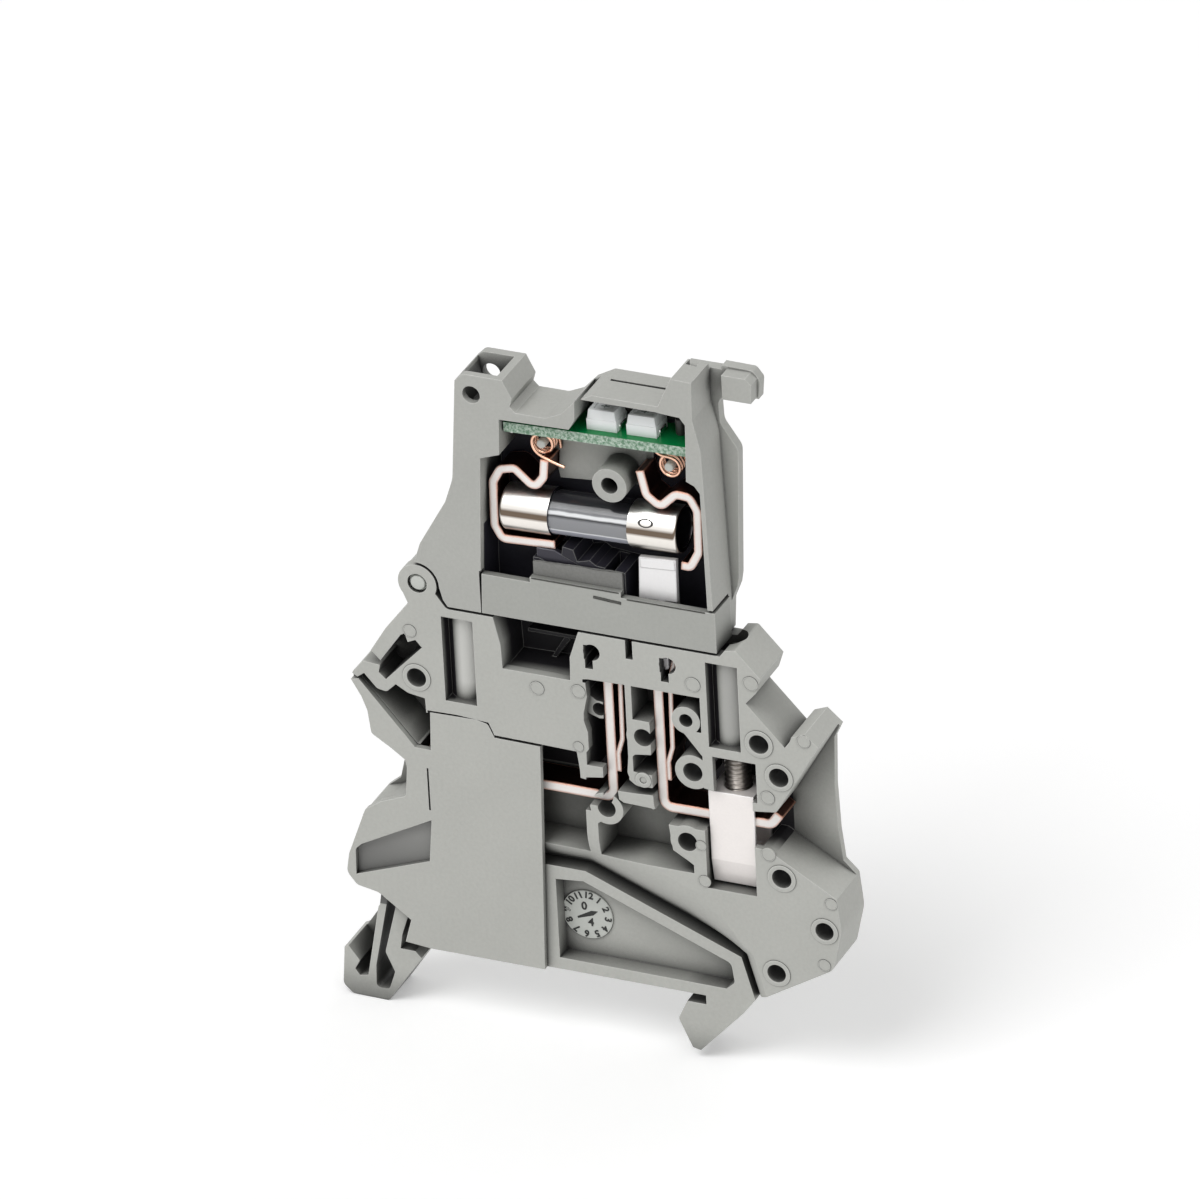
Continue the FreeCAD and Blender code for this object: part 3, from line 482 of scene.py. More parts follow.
def makeCopper(name):
    # drawn strip: its cut face painted nearly white as a painted highlight, the rims salmon, the flats
    # painted dark as painted shade
    look = copperLook
    material, tree, shader = newMaterial(name)
    edges = useGroup(tree, edgeGroup, Radius=look["rimWidth"] * mm)
    grain = useGroup(tree, grainGroup, Fine=look["grainScale"], Blotch=look["blotchScale"],
                     Amount=look["grain"])
    # faces toward the front get the painted highlight, the flats the painted shade, salmon rims on both
    cutFace = spread(tree, facing(tree, (0, -1, 0)), look["faceStart"], look["faceFull"])
    face = mixColour(tree, edges.outputs["Edge"], look["cutFaceHighlight"], look["rim"])
    flat = mixColour(tree, edges.outputs["Edge"], look["side"], look["rim"])
    colour = grained(tree, mixColour(tree, cutFace, flat, face), grain)
    metallic = spread(tree, cutFace, 0.0, 1.0, look["sideMetallic"], look["faceMetallic"])
    roughness = spread(tree, cutFace, 0.0, 1.0, look["sideRoughness"], look["faceRoughness"])
    connect(tree, colour, shader.inputs["Base Color"])
    connect(tree, metallic, shader.inputs["Metallic"])
    connect(tree, roughness, shader.inputs["Roughness"])
    bumpBy(tree, shader, grain, look["grainDepth"], edges.outputs["Normal"])
    return material


metalLook = {"grainScale": 3500.0, "blotchScale": 350.0, "grainDepth": 0.008, "edgeRadius": 0.12,
             "roughnessSwing": 0.25}


def makeMetal(name, colour, roughness, scratch=0.06):
    look = metalLook
    material, tree, shader = newMaterial(name)
    grain = useGroup(tree, grainGroup, Fine=look["grainScale"], Blotch=look["blotchScale"], Amount=scratch)
    edges = useGroup(tree, edgeGroup, Radius=look["edgeRadius"] * mm)
    uneven = spread(tree, grain.outputs["Height"], 0.0, 1.0, roughness * (1 - look["roughnessSwing"]),
                    roughness * (1 + look["roughnessSwing"]))
    connect(tree, grained(tree, colour, grain), shader.inputs["Base Color"])
    connect(tree, uneven, shader.inputs["Roughness"])
    bumpBy(tree, shader, grain, look["grainDepth"], edges.outputs["Normal"])
    shader.inputs["Metallic"].default_value = 1.0
    return material


platedLook = {
    "grain": 0.05,
    "grainScale": 3500.0,
    "blotchScale": 350.0,
    "grainDepth": 0.008,
    "edgeRadius": 0.2,
    "undersideShade": (0.1, 0.08, 0.075, 1),
    "undersideStart": 0.1,
    "undersideFull": 0.25,
    "undersideShare": 0.22,
    "lowRoughness": 0.3,
    "highRoughness": 0.45,
    "metallic": 0.35,
}


def makePlated(name, colour, rim):
    # satin plating with its rims painted in another tone along the edges, and painted shade where it looks
    # down
    look = platedLook
    material, tree, shader = newMaterial(name)
    grain = useGroup(tree, grainGroup, Fine=look["grainScale"], Blotch=look["blotchScale"],
                     Amount=look["grain"])
    edges = useGroup(tree, edgeGroup, Radius=look["edgeRadius"] * mm)
    # painted shade on faces that look down
    down = spread(tree, facing(tree, (0, 0, -1)), look["undersideStart"], look["undersideFull"], 0.0,
                  look["undersideShare"])
    shaded = mixColour(tree, down, colour, look["undersideShade"])
    tone = mixColour(tree, edges.outputs["Edge"], shaded, rim)
    uneven = spread(tree, grain.outputs["Height"], 0.0, 1.0, look["lowRoughness"], look["highRoughness"])
    connect(tree, grained(tree, tone, grain), shader.inputs["Base Color"])
    connect(tree, uneven, shader.inputs["Roughness"])
    bumpBy(tree, shader, grain, look["grainDepth"], edges.outputs["Normal"])
    shader.inputs["Metallic"].default_value = look["metallic"]
    return material


def bandRamp(tree, look, place):
    # the tones of look["bands"], from the lowest to the highest place
    ramp = tree.nodes.new("ShaderNodeValToRGB")
    stops = ramp.color_ramp.elements
    stops[0].color = look[look["lowest"]]
    stops[1].color = look[look["highest"]]
    for position, tone in look["bands"]:
        stops.new(position).color = look[tone]
    connect(tree, place, ramp.inputs["Fac"])
    return ramp.outputs["Color"]


capLook = {
    "light": (0.86, 0.82, 0.77, 1),
    "bright": (0.97, 0.96, 0.93, 1),
    "band": (0.16, 0.12, 0.09, 1),
    "end": (0.05, 0.05, 0.07, 1),
    "lowest": "band",
    "highest": "bright",
    "bands": [(0.26, "band"), (0.34, "light"), (0.66, "light"), (0.71, "band"), (0.79, "band"),
              (0.84, "light"), (0.93, "bright")],
    "upward": (0, -0.35, 0.94),
    "outward": (1, 0, 0.03),
    "endStart": 0.85,
    "endFull": 0.97,
    "grain": 0.05,
    "grainScale": 2500.0,
    "blotchScale": 300.0,
    "grainDepth": 0.006,
    "roughness": 0.28,
}


def makeCapMetal(name):
    # nickel with painted reflections: a bright painted highlight line high up, a dark reflected band below
    # it, warm silver under that, a dark end face of painted shade
    look = capLook
    material, tree, shader = newMaterial(name)
    grain = useGroup(tree, grainGroup, Fine=look["grainScale"], Blotch=look["blotchScale"],
                     Amount=look["grain"])
    # painted reflection bands, chosen by which way the surface faces
    height = spread(tree, facing(tree, look["upward"]), -1.0, 1.0)
    endFace = spread(tree, facing(tree, look["outward"]), look["endStart"], look["endFull"])
    colour = mixColour(tree, endFace, bandRamp(tree, look, height), look["end"])
    connect(tree, grained(tree, colour, grain), shader.inputs["Base Color"])
    ownNormal = tree.nodes.new("ShaderNodeNewGeometry").outputs["Normal"]
    bumpBy(tree, shader, grain, look["grainDepth"], ownNormal)
    shader.inputs["Metallic"].default_value = 1.0
    shader.inputs["Roughness"].default_value = look["roughness"]
    return material


glassLook = {
    "body": (0.30, 0.305, 0.32, 1),
    "line": (0.95, 0.96, 0.98, 1),
    "dark": (0.03, 0.03, 0.035, 1),
    "foot": (0.42, 0.43, 0.49, 1),
    "lowest": "dark",
    "highest": "dark",
    "bands": [(0.0, "dark"), (0.16, "dark"), (0.2, "foot"), (0.36, "foot"), (0.4, "line"),
              (0.43, "body"), (0.7, "body"), (0.76, "dark"), (0.79, "line"), (0.83, "line"),
              (0.85, "body"), (0.95, "dark")],
    "upward": (0.03, -0.2, 0.98),
    "waver": 0.03,
    "waverScale": 260.0,
    "smearScale": 400.0,
    "lowRoughness": 0.06,
    "highRoughness": 0.14,
    "transmission": 0.12,
    "ior": 1.45,
}


def makeGlass(name):
    # painted reflections of the room as bands along the tube: a white highlight line high up, grey below, a
    # pale line low down
    look = glassLook
    material, tree, shader = newMaterial(name)
    # painted reflection bands, chosen by which way the surface faces
    height = spread(tree, facing(tree, look["upward"]), -1.0, 1.0)
    waver = spread(tree, noise(tree, look["waverScale"]), 0.0, 1.0, -look["waver"], look["waver"])
    smear = spread(tree, noise(tree, look["smearScale"]), 0.3, 0.7, look["lowRoughness"],
                   look["highRoughness"])
    colour = bandRamp(tree, look, mathNode(tree, "ADD", height, waver))
    connect(tree, colour, shader.inputs["Base Color"])
    connect(tree, smear, shader.inputs["Roughness"])
    shader.inputs["Transmission Weight"].default_value = look["transmission"]
    shader.inputs["IOR"].default_value = look["ior"]
    return material


boardLook = {
    "film": (0.0, 0.20, 0.05, 1),
    "laminate": (0.12, 0.24, 0.15, 1),
    "speck": (0.52, 0.62, 0.53, 1),
    "weaveScale": 2600.0,
    "weaveDetail": 4.0,
    "weaveRoughness": 0.7,
    "weaveLow": 0.42,
    "weaveHigh": 0.6,
    "filmStart": 0.5,
    "filmFull": 0.8,
    "edgeRoughness": 0.6,
    "filmRoughness": 0.3,
    "specular": 0.4,
}


def makeBoard(name):
    # green film on top, and cut edges with the specks of the glass weave
    look = boardLook
    material, tree, shader = newMaterial(name)
    top = spread(tree, facing(tree, (0, 0, 1)), look["filmStart"], look["filmFull"])
    weave = spread(tree, noise(tree, look["weaveScale"], look["weaveDetail"], look["weaveRoughness"]),
                   look["weaveLow"], look["weaveHigh"])
    edge = mixColour(tree, weave, look["laminate"], look["speck"])
    roughness = spread(tree, top, 0.0, 1.0, look["edgeRoughness"], look["filmRoughness"])
    connect(tree, mixColour(tree, top, edge, look["film"]), shader.inputs["Base Color"])
    connect(tree, roughness, shader.inputs["Roughness"])
    shader.inputs["Specular IOR Level"].default_value = look["specular"]
    return material


plainLook = {"edgeRadius": 0.08, "grainDepth": 0.005, "specular": 0.4}


def makePlain(name, colour, roughness, grainAmount=0.05):
    look = plainLook
    material, tree, shader = newMaterial(name)
    grain = useGroup(tree, grainGroup, Amount=grainAmount)
    edges = useGroup(tree, edgeGroup, Radius=look["edgeRadius"] * mm)
    connect(tree, grained(tree, colour, grain), shader.inputs["Base Color"])
    bumpBy(tree, shader, grain, look["grainDepth"], edges.outputs["Normal"])
    shader.inputs["Roughness"].default_value = roughness
    shader.inputs["Specular IOR Level"].default_value = look["specular"]
    return material


housingMoulding = makeMoulding("housingMoulding", housingGrey, 0.95, housingPaintedShade, chamberShade,
                               housingPaintedLightAndShade)
leverMoulding = makeMoulding("leverMoulding", leverGrey, 0.62, leverPaintedShade, leverCavityShade)
coverMoulding = makeMoulding("coverMoulding", housingGrey, 0.9)
stripMoulding = makeMoulding("stripMoulding", stripGrey, 0.9)
stripCopper = makeCopper("stripCopper")
# rims: a painted highlight along the edges of the clamp sleeves and the shaded contact, a painted shade
# line along the flag contact's edges
clampPlating = makePlated("clampPlating", (0.92, 0.875, 0.85, 1), (1.0, 0.99, 0.98, 1))
contactPlating = makePlated("contactPlating", (0.86, 0.85, 0.85, 1), (0.60, 0.59, 0.59, 1))
# painted shade: the left blade contact is painted nearly black
shadedPlating = makePlated("shadedPlating", (0.035, 0.033, 0.045, 1), (0.12, 0.12, 0.14, 1))
screwSteel = makeMetal("screwSteel", (0.42, 0.39, 0.36, 1), 0.35, scratch=0.15)
coilCopper = makeMetal("coilCopper", (0.90, 0.55, 0.40, 1), 0.25)
wireSilver = makeMetal("wireSilver", (0.85, 0.85, 0.84, 1), 0.2)
capNickel = makeCapMetal("capNickel")
fuseGlassMaterial = makeGlass("fuseGlass")
boardLaminate = makeBoard("boardLaminate")
lampWhite = makePlain("lampWhite", (0.86, 0.88, 0.88, 1), 0.35, 0.02)
lampMark = makePlain("lampMark", (0.30, 0.33, 0.33, 1), 0.5)
dialLight = makePlain("dialLight", (0.56, 0.575, 0.54, 1), 0.6)
dialInk = makePlain("dialInk", (0.035, 0.036, 0.034, 1), 0.7)
sawnWall = makePlain("sawnWall", (0.21, 0.21, 0.20, 1), 0.8, 0.3)
sawnPlastic = makePlain("sawnPlastic", (0.13, 0.13, 0.12, 1), 0.9, 0.4)
chipDark = makePlain("chipDark", (0.05, 0.045, 0.045, 1), 0.4)

nodeMaterials = {
    housingMoulding: ["housing"],
    coverMoulding: ["left_cover", "lever_pin"],
    leverMoulding: ["lever_body"],
    stripMoulding: ["lever_cover"],
    stripCopper: ["left_busbar", "right_busbar", "left_contact_spring", "right_contact_spring",
                  "left_fuse_clip", "right_fuse_clip"],
    clampPlating: ["left_clamp_sleeve", "right_clamp_sleeve"],
    contactPlating: ["right_blade_contact"],
    shadedPlating: ["left_blade_contact"],
    fuseGlassMaterial: ["fuse_glass"],
    wireSilver: ["fuse_wire"],
    boardLaminate: ["circuit_board"],
}
for material, names in nodeMaterials.items():
    for name in names:
        nodes[name].data.materials.clear()
        nodes[name].data.materials.append(material)
print("materials made,", len(bpy.data.materials))


# Clamp screws

screw = {
    "coreRadius": 1.18, "threadDepth": 0.27, "threadHalfHeight": 0.2, "pitch": 0.52, "leadIn": 0.35,
    "stepsPerTurn": 32, "chamfer": 0.16, "headRadius": 1.62, "headHeight": 1.6, "headEdge": 0.1,
    "slotLength": 4.0, "slotWidth": 0.5, "slotDepth": 0.8,
}


def addThread(x, bottom, length):
    # a diamond beside the core, wound upwards
    deselectAll()
    bpy.ops.mesh.primitive_circle_add(vertices=4, radius=screw["threadDepth"] * mm, rotation=alongY)
    thread = bpy.context.object
    settle(thread)
    foot = Vector((x, 0, bottom)) * mm
    thread.location = foot
    editAll(thread)
    bpy.ops.transform.resize(value=(1, 1, screw["threadHalfHeight"] / screw["threadDepth"]),
                             center_override=foot)
    bpy.ops.transform.translate(value=(screw["coreRadius"] * mm, 0, 0))
    endEdit()
    applyModifier(thread, "SCREW", angle=2 * math.pi, screw_offset=screw["pitch"] * mm,
                  iterations=int(length / screw["pitch"]), steps=screw["stepsPerTurn"],
                  render_steps=screw["stepsPerTurn"], axis="Z")
    editAll(thread)
    bpy.ops.mesh.remove_doubles(threshold=0.001 * mm)
    bpy.ops.mesh.fill_holes(sides=4)
    bpy.ops.mesh.select_all(action="SELECT")
    bpy.ops.mesh.normals_make_consistent(inside=False)
    endEdit()
    return thread


def addScrewHead(x, top):
    head = addRod((x, 0, top - screw["headHeight"] / 2), screw["headRadius"], screw["headHeight"])
    slot = addBox((x, 0, top), (screw["slotLength"], screw["slotWidth"], 2 * screw["slotDepth"]))
    applyModifier(head, "BOOLEAN", operation="DIFFERENCE", object=slot, solver="EXACT")
    removePiece(slot)
    roundEdges(head, screw["headEdge"])
    return head


def addClampScrew(side):
    node = side + "_clamp_screw"
    low, high = boxOf(node)
    x = (low.x + high.x) / 2
    headBottom = high.z - screw["headHeight"]
    core = addRod((x, 0, (headBottom + low.z) / 2), screw["coreRadius"], headBottom - low.z)
    roundEdges(core, screw["chamfer"])
    start = low.z + screw["leadIn"]
    thread = addThread(x, start, headBottom - start - screw["pitch"])
    whole = joinPieces([core, thread, addScrewHead(x, high.z)])
    finishPiece(whole, side + "ThreadedScrew", side + "_screw", screwSteel, smoothAngle=28)
    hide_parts(node)


for side in ("left", "right"):
    addClampScrew(side)
print("clamp screws cut")


# Wire coils

coil = {"radius": 1.22, "wireRadius": 0.17, "pitch": 0.55, "pointsPerTurn": 10, "smoothness": 5,
        "roundness": 3}
# middle x and z, turns, first leg, last leg
coilPlaces = {
    "left": (1.4, 62.5, 3.25, [(4.2, -1.5, 60.5), (2.4, -1.4, 60.9), (0.6, -1.3, 61.7), (0.3, -1.1, 63.2)],
             [(2.7, 0.95, 61.6), (2.7, 0.95, 61.3)]),
    "right": (15.8, 62.3, 3.5, [(14.4, -1.1, 64.0), (14.9, -1.1, 63.6)],
              [(14.5, 1.05, 61.4), (14.5, 1.05, 60.9)]),
}


def addWire(points):
    deselectAll()
    bpy.ops.curve.primitive_nurbs_path_add()
    wire = bpy.context.object
    line = wire.data.splines[0]
    line.points.add(len(points) - len(line.points))
    for point, place in zip(line.points, points):
        point.co = (*(Vector(place) * mm), 1)
    line.order_u = 3
    line.use_endpoint_u = True
    wire.data.dimensions = "3D"
    wire.data.resolution_u = coil["smoothness"]
    wire.data.bevel_depth = coil["wireRadius"] * mm
    wire.data.bevel_resolution = coil["roundness"]
    wire.data.use_fill_caps = True
    makeActive(wire)
    bpy.ops.object.convert(target="MESH")
    return bpy.context.object


def coilPoints(x, z, turns, firstLeg, lastLeg):
    points = list(firstLeg)
    for step in range(round(turns * coil["pointsPerTurn"]) + 1):
        share = step / coil["pointsPerTurn"]
        angle = math.pi / 2 - 2 * math.pi * share
        points.append((x + coil["radius"] * math.cos(angle), coil["pitch"] * (share - turns / 2),
                       z + coil["radius"] * math.sin(angle)))
    return points + lastLeg


for side, place in coilPlaces.items():
    wire = addWire(coilPoints(*place))
    finishPiece(wire, side + "WireCoil", "lever", coilCopper, smoothAngle=60)
    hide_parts(side + "_coil_spring")
print("coils wound")


# Lamps, a component and solder on the board

board = {"middle": middleOf("circuit_board"), "tilt": 1.7, "halfThickness": 0.55}
lamp = {"offsets": {"led_left": 0.5, "led_right": 5.0}, "length": 3.4, "width": 2.8, "height": 2.3,
        "waist": 0.55, "ledge": 0.07, "topShare": 0.9, "dishRim": 0.45, "dishDepth": 0.12, "edge": 0.1}
lug = {"length": 0.35, "width": 1.6, "height": 0.75, "edge": 0.08}
die = {"bars": [(0.9, 0.16), (0.16, 0.55)], "thickness": 0.06, "shift": -0.05, "sink": 0.1, "edge": 0.02}


def addLampBody(node, offset):
    # a block with a narrower upper half and a dish in its top
    bottom = board["halfThickness"]
    lower = lamp["height"] * lamp["waist"]
    body = addBox((offset, 0, bottom + lower / 2), (lamp["length"], lamp["width"], lower))
    editFaces(body, lambda face: face.normal.z > 0.9)
    insetFaces(lamp["ledge"])
    pushFaces(0, 0, lamp["height"] - lower)
    bpy.ops.transform.resize(value=(lamp["topShare"], lamp["topShare"], 1),
                             center_override=Vector((offset, 0, bottom + lamp["height"])) * mm)
    insetFaces(lamp["dishRim"])
    pushFaces(0, 0, -lamp["dishDepth"])
    endEdit()
    roundEdges(body, lamp["edge"], angle=40)
    placeAt(body, board["middle"], board["tilt"])
    finishPiece(body, node + "Body", "lever", lampWhite)
    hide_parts(node)


def addLampTrim(node, offset):
    lugs = []
    for end in (-1, 1):
        foot = addBox((offset + end * lamp["length"] / 2, 0, board["halfThickness"] + lug["height"] / 2),
                      (lug["length"], lug["width"], lug["height"]))
        roundEdges(foot, lug["edge"], angle=30)
        lugs.append(foot)
    feet = placeAt(joinPieces(lugs), board["middle"], board["tilt"])
    finishPiece(feet, node + "Lugs", "lever", wireSilver)
    bars = []
    for length, width in die["bars"]:
        bar = addBox((offset + die["shift"], 0, board["halfThickness"] + lamp["height"] - die["sink"]),
                     (length, width, die["thickness"]))
        roundEdges(bar, die["edge"], segments=1, angle=30)
        bars.append(bar)
    mark = placeAt(joinPieces(bars), board["middle"], board["tilt"])
    finishPiece(mark, node + "Die", "lever", lampMark)


chip = {"x": 8.7, "y": 0.3, "radius": 0.55, "height": 1.9, "edge": 0.18}


def addBoardChip():
    middle = (chip["x"], chip["y"], board["halfThickness"] + chip["height"] / 2)
    component = addRod(middle, chip["radius"], chip["height"], sides=32)
    roundEdges(component, chip["edge"], segments=3)
    placeAt(component, board["middle"], board["tilt"])
    finishPiece(component, "boardComponent", "lever", chipDark)


# the blobs' x, z and radius, from the board's middle
solder = {"blobs": [(-9.7, -0.75, 0.32), (9.75, -0.35, 0.3), (-7.3, -0.7, 0.28), (6.6, -0.7, 0.28)],
          "y": -1.6, "stretch": (1.2, 1.0, 0.8), "rough": 0.03, "seed": 4}


def addSolder():
    blobs = []
    for x, z, size in solder["blobs"]:
        deselectAll()
        bpy.ops.mesh.primitive_uv_sphere_add(segments=20, ring_count=12, radius=size * mm,
                                             location=Vector((x, solder["y"], z)) * mm,
                                             scale=solder["stretch"])
        blob = bpy.context.object
        settle(blob)
        editAll(blob)
        bpy.ops.transform.vertex_random(offset=solder["rough"] * mm, seed=solder["seed"])
        endEdit()
        applyModifier(blob, "SUBSURF", levels=1, render_levels=1)
        blobs.append(blob)
    whole = placeAt(joinPieces(blobs), board["middle"], board["tilt"])
    finishPiece(whole, "solderBlobs", "lever", wireSilver, smoothAngle=80)


for node, offset in lamp["offsets"].items():
    addLampBody(node, offset)
    addLampTrim(node, offset)
addBoardChip()
addSolder()
print("board dressed")


# Fuse caps

fuse = {"middle": middleOf("fuse_glass"), "tilt": 1.8, "halfLength": 10.0, "radius": 2.6, "sides": 72,
        "capLength": 5.5, "capFloor": 0.4, "wall": 0.25, "roll": 0.35, "endRim": 0.3, "endSink": 0.06}


def addCap(node, end):
    # a cup: hollowed from inside, rolled at its closed end, with a shallow dent there
    length = fuse["capLength"]
    outerEnd = fuse["halfLength"] * 0.99 * mm
    cap = addRod((end * (fuse["halfLength"] - length / 2), 0, 0), fuse["radius"], length, alongX,
                 fuse["sides"])
    editFaces(cap, lambda face: face.normal.x * end < -0.9)
    insetFaces(fuse["wall"])
    pushFaces(end * (length - fuse["capFloor"]), 0, 0)
    endEdit()
    editFaces(cap, lambda face: face.normal.x * end > 0.9 and face.calc_center_median().x * end > outerEnd)
    bpy.ops.mesh.bevel(offset=fuse["roll"] * mm, segments=4, affect="EDGES")
    endEdit()
    editFaces(cap, lambda face: face.normal.x * end > 0.99 and face.calc_center_median().x * end > outerEnd)
    insetFaces(fuse["endRim"])
    pushFaces(-end * fuse["endSink"], 0, 0)
    endEdit()
    placeAt(cap, fuse["middle"], fuse["tilt"])
    finishPiece(cap, node + "_pressed", "lever", capNickel, smoothAngle=40)
    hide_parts(node)


addCap("fuse_cap_left", -1)
addCap("fuse_cap_right", 1)
print("fuse caps pressed")


# Fold of the flag, ring on the right cap, pins inside the coils, hinge pin

flagFold = {"x": 14.3, "z": 51.0, "width": 3.95, "height": 1.15, "proud": 0.07, "rim": 0.06, "edge": 0.03,
            "tilt": 4.1}


def addFlagFold():
    # the flag's upper end is bent back, which shows as a step in its face
    fold = addBox((0, 0, 0), (flagFold["width"], 2 * flagFold["proud"], flagFold["height"]))
    editFaces(fold, lambda face: face.normal.y < -0.9)
    insetFaces(flagFold["rim"])
    endEdit()
    roundEdges(fold, flagFold["edge"], angle=40)
    placeAt(fold, (flagFold["x"], boxOf("right_blade_contact")[0].y, flagFold["z"]), flagFold["tilt"])
    finishPiece(fold, "flagFold", "lever", contactPlating)


capStamp = {"along": 6.6, "length": 0.75, "height": 0.42, "wire": 0.12, "turn": 58.0, "proud": 0.02}


def addCapStamp():
    # a flat ring laid on the cap, where its side faces up and forward
    turn = math.radians(capStamp["turn"])
    reach = fuse["radius"] + capStamp["proud"]
    deselectAll()
    bpy.ops.mesh.primitive_torus_add(major_radius=capStamp["length"] * mm,
                                     minor_radius=capStamp["wire"] * mm,
                                     major_segments=40, minor_segments=10)
    stamp = bpy.context.object
    settle(stamp)
    editAll(stamp)
    bpy.ops.transform.resize(value=(1, capStamp["height"] / capStamp["length"], 1),
                             center_override=(0, 0, 0))
    endEdit()
    stamp.rotation_euler = (turn, 0, 0)
    stamp.location = Vector((capStamp["along"], -reach * math.sin(turn), reach * math.cos(turn))) * mm
    placeAt(stamp, fuse["middle"], fuse["tilt"])
    finishPiece(stamp, "capStamp", "lever", chipDark, smoothAngle=60)


coilPin = {"radius": 0.5, "front": -1.15, "back": 2.35, "edge": 0.14}


def addCoilPins():
    pins = []
    for place in coilPlaces.values():
        middle = (place[0], (coilPin["front"] + coilPin["back"]) / 2, place[1])
        pin = addRod(middle, coilPin["radius"], coilPin["back"] - coilPin["front"], alongY, 32)
        roundEdges(pin, coilPin["edge"], segments=3)
        pins.append(pin)
    finishPiece(joinPieces(pins), "coilPins", "lever", dialLight)


hingePin = {"headRadius": 0.82, "step": 0.5, "edge": 0.1}


def addHingePin():
    # both ends of the pin are turned down, which leaves the dark ring round them
    low, high = boxOf("lever_pin")
    middle = (low + high) / 2
    radius = (high.x - low.x) / 2
    pin = addRod(middle, radius, high.y - low.y, alongY, 56)
    editFaces(pin, lambda face: abs(face.normal.y) > 0.9)
    insetFaces(radius - hingePin["headRadius"])
    endEdit()
    for side in (-1, 1):
        editFaces(pin, lambda face: face.normal.y * side > 0.9
                  and (face.calc_center_median() / mm - middle).xz.length > hingePin["headRadius"])
        pushFaces(0, -side * hingePin["step"], 0)
        endEdit()
    roundEdges(pin, hingePin["edge"])
    finishPiece(pin, "hingePin", "lever", dialLight)
    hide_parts("lever_pin")


addFlagFold()
addCapStamp()
addCoilPins()
addHingePin()
print("small fittings added")


# Marks of the mould: ejector discs, hole collars and the date dial

frontFace = boxOf("housing")[0].y
# the discs' x, z and radius
ejector = {"radius": 0.8, "height": 0.07, "rim": 0.08, "sink": 0.03, "places": [
    (26.09, 26.01, 0.8), (25.88, 19.14, 0.8), (18.45, 14.47, 0.7), (32.76, 14.42, 0.7), (31.7, 6.83, 0.7),
    (30.48, 33.55, 0.75), (18.22, 18.76, 0.6), (5.06, 34.84, 0.8), (18.19, 38.08, 0.85),
    (24.77, 39.4, 0.85), (0.35, 34.37, 0.8), (4.74, 28.14, 0.6), (-14.0, 38.6, 0.75),
]}


def addEjectorDiscs():
    first = addRod((0, 0, 0), ejector["radius"], 2 * ejector["height"], alongY, 40)
    editFaces(first, lambda face: face.normal.y < -0.9)
    insetFaces(ejector["rim"])
    pushFaces(0, ejector["sink"], 0)
    endEdit()
    discs = []
    for x, z, radius in ejector["places"]:
        disc = copyOf(first)
        disc.scale = (radius / ejector["radius"], 1, radius / ejector["radius"])
        disc.location = Vector((x, frontFace, z)) * mm
        discs.append(disc)
    removePiece(first)
    finishPiece(joinPieces(discs), "ejectorMarks", "base", coverMoulding)


# the holes' x, z and radius
collar = {"height": 0.1, "width": 0.5, "edge": 0.04, "holes": [
    (25.4, 32.3, 1.1), (27.5, 28.7, 1.1), (27.3, 16.5, 1.1), (31.9, 11.0, 1.03), (26.2, 4.8, 1.05),
    (-13.5, 33.1, 1.1), (12.0, 25.5, 0.4),
]}


def addCollars():
    rings = []
    for x, z, radius in collar["holes"]:
        ring = addRod((x, frontFace, z), radius + collar["width"], 2 * collar["height"], alongY, 56)
        editFaces(ring, lambda face: abs(face.normal.y) > 0.9)
        insetFaces(collar["width"])
        bpy.ops.mesh.bridge_edge_loops()
        endEdit()
        roundEdges(ring, collar["edge"])
        rings.append(ring)
    finishPiece(joinPieces(rings), "holeCollars", "base", coverMoulding)


dial = {"x": 3.53, "z": 6.12, "floor": -0.4, "radius": 2.87, "height": 0.16, "rim": 0.12, "sink": 0.03,
        "numbers": 12, "numberRadius": 2.33, "numberSize": 1.1, "firstAngle": 85.0,
        "digitSize": 1.3, "digits": [("0", -0.35, 0.95), ("4", 0.35, -0.9)],
        "inkHeight": 0.03, "inkWidening": 0.03}
dialHand = {"length": 1.3, "halfWidth": 0.11, "thickness": 0.06, "headLength": 0.7, "headWidening": 2.6,
            "tipShare": 0.05, "turn": 25.0, "sink": 0.04}


def addDialText(text, size, x, z, turn):
    deselectAll()
    bpy.ops.object.text_add(rotation=alongY)
    word = bpy.context.object
    word.data.body = text
    word.data.size = size * mm
    word.data.align_x = "CENTER"
    word.data.align_y = "CENTER"
    word.data.extrude = dial["inkHeight"] * mm
    word.data.offset = dial["inkWidening"] * mm
    makeActive(word)
    bpy.ops.object.convert(target="MESH")
    word = bpy.context.object
    settle(word)
    word.rotation_euler = (0, -turn, 0)
    word.location = Vector((dial["x"] + x, dial["floor"] - dial["height"], dial["z"] + z)) * mm
    settle(word)
    return word


def addDialHand():
    # a bar whose end is widened into an arrow head
    end = (dialHand["length"] * mm, 0, 0)
    hand = addBox((0, 0, 0), (2 * dialHand["length"], dialHand["thickness"], 2 * dialHand["halfWidth"]))
    editFaces(hand, lambda face: face.normal.x > 0.9)
    bpy.ops.transform.resize(value=(1, 1, dialHand["headWidening"]), center_override=end)
    bpy.ops.transform.translate(value=(-dialHand["headLength"] * mm, 0, 0))
    pushFaces(dialHand["headLength"], 0, 0)
    bpy.ops.transform.resize(value=(1, 1, dialHand["tipShare"]), center_override=end)
    endEdit()
    hand.rotation_euler = (0, -math.radians(dialHand["turn"]), 0)
    hand.location = Vector((dial["x"], dial["floor"] - dial["height"] + dialHand["sink"], dial["z"])) * mm
    return hand


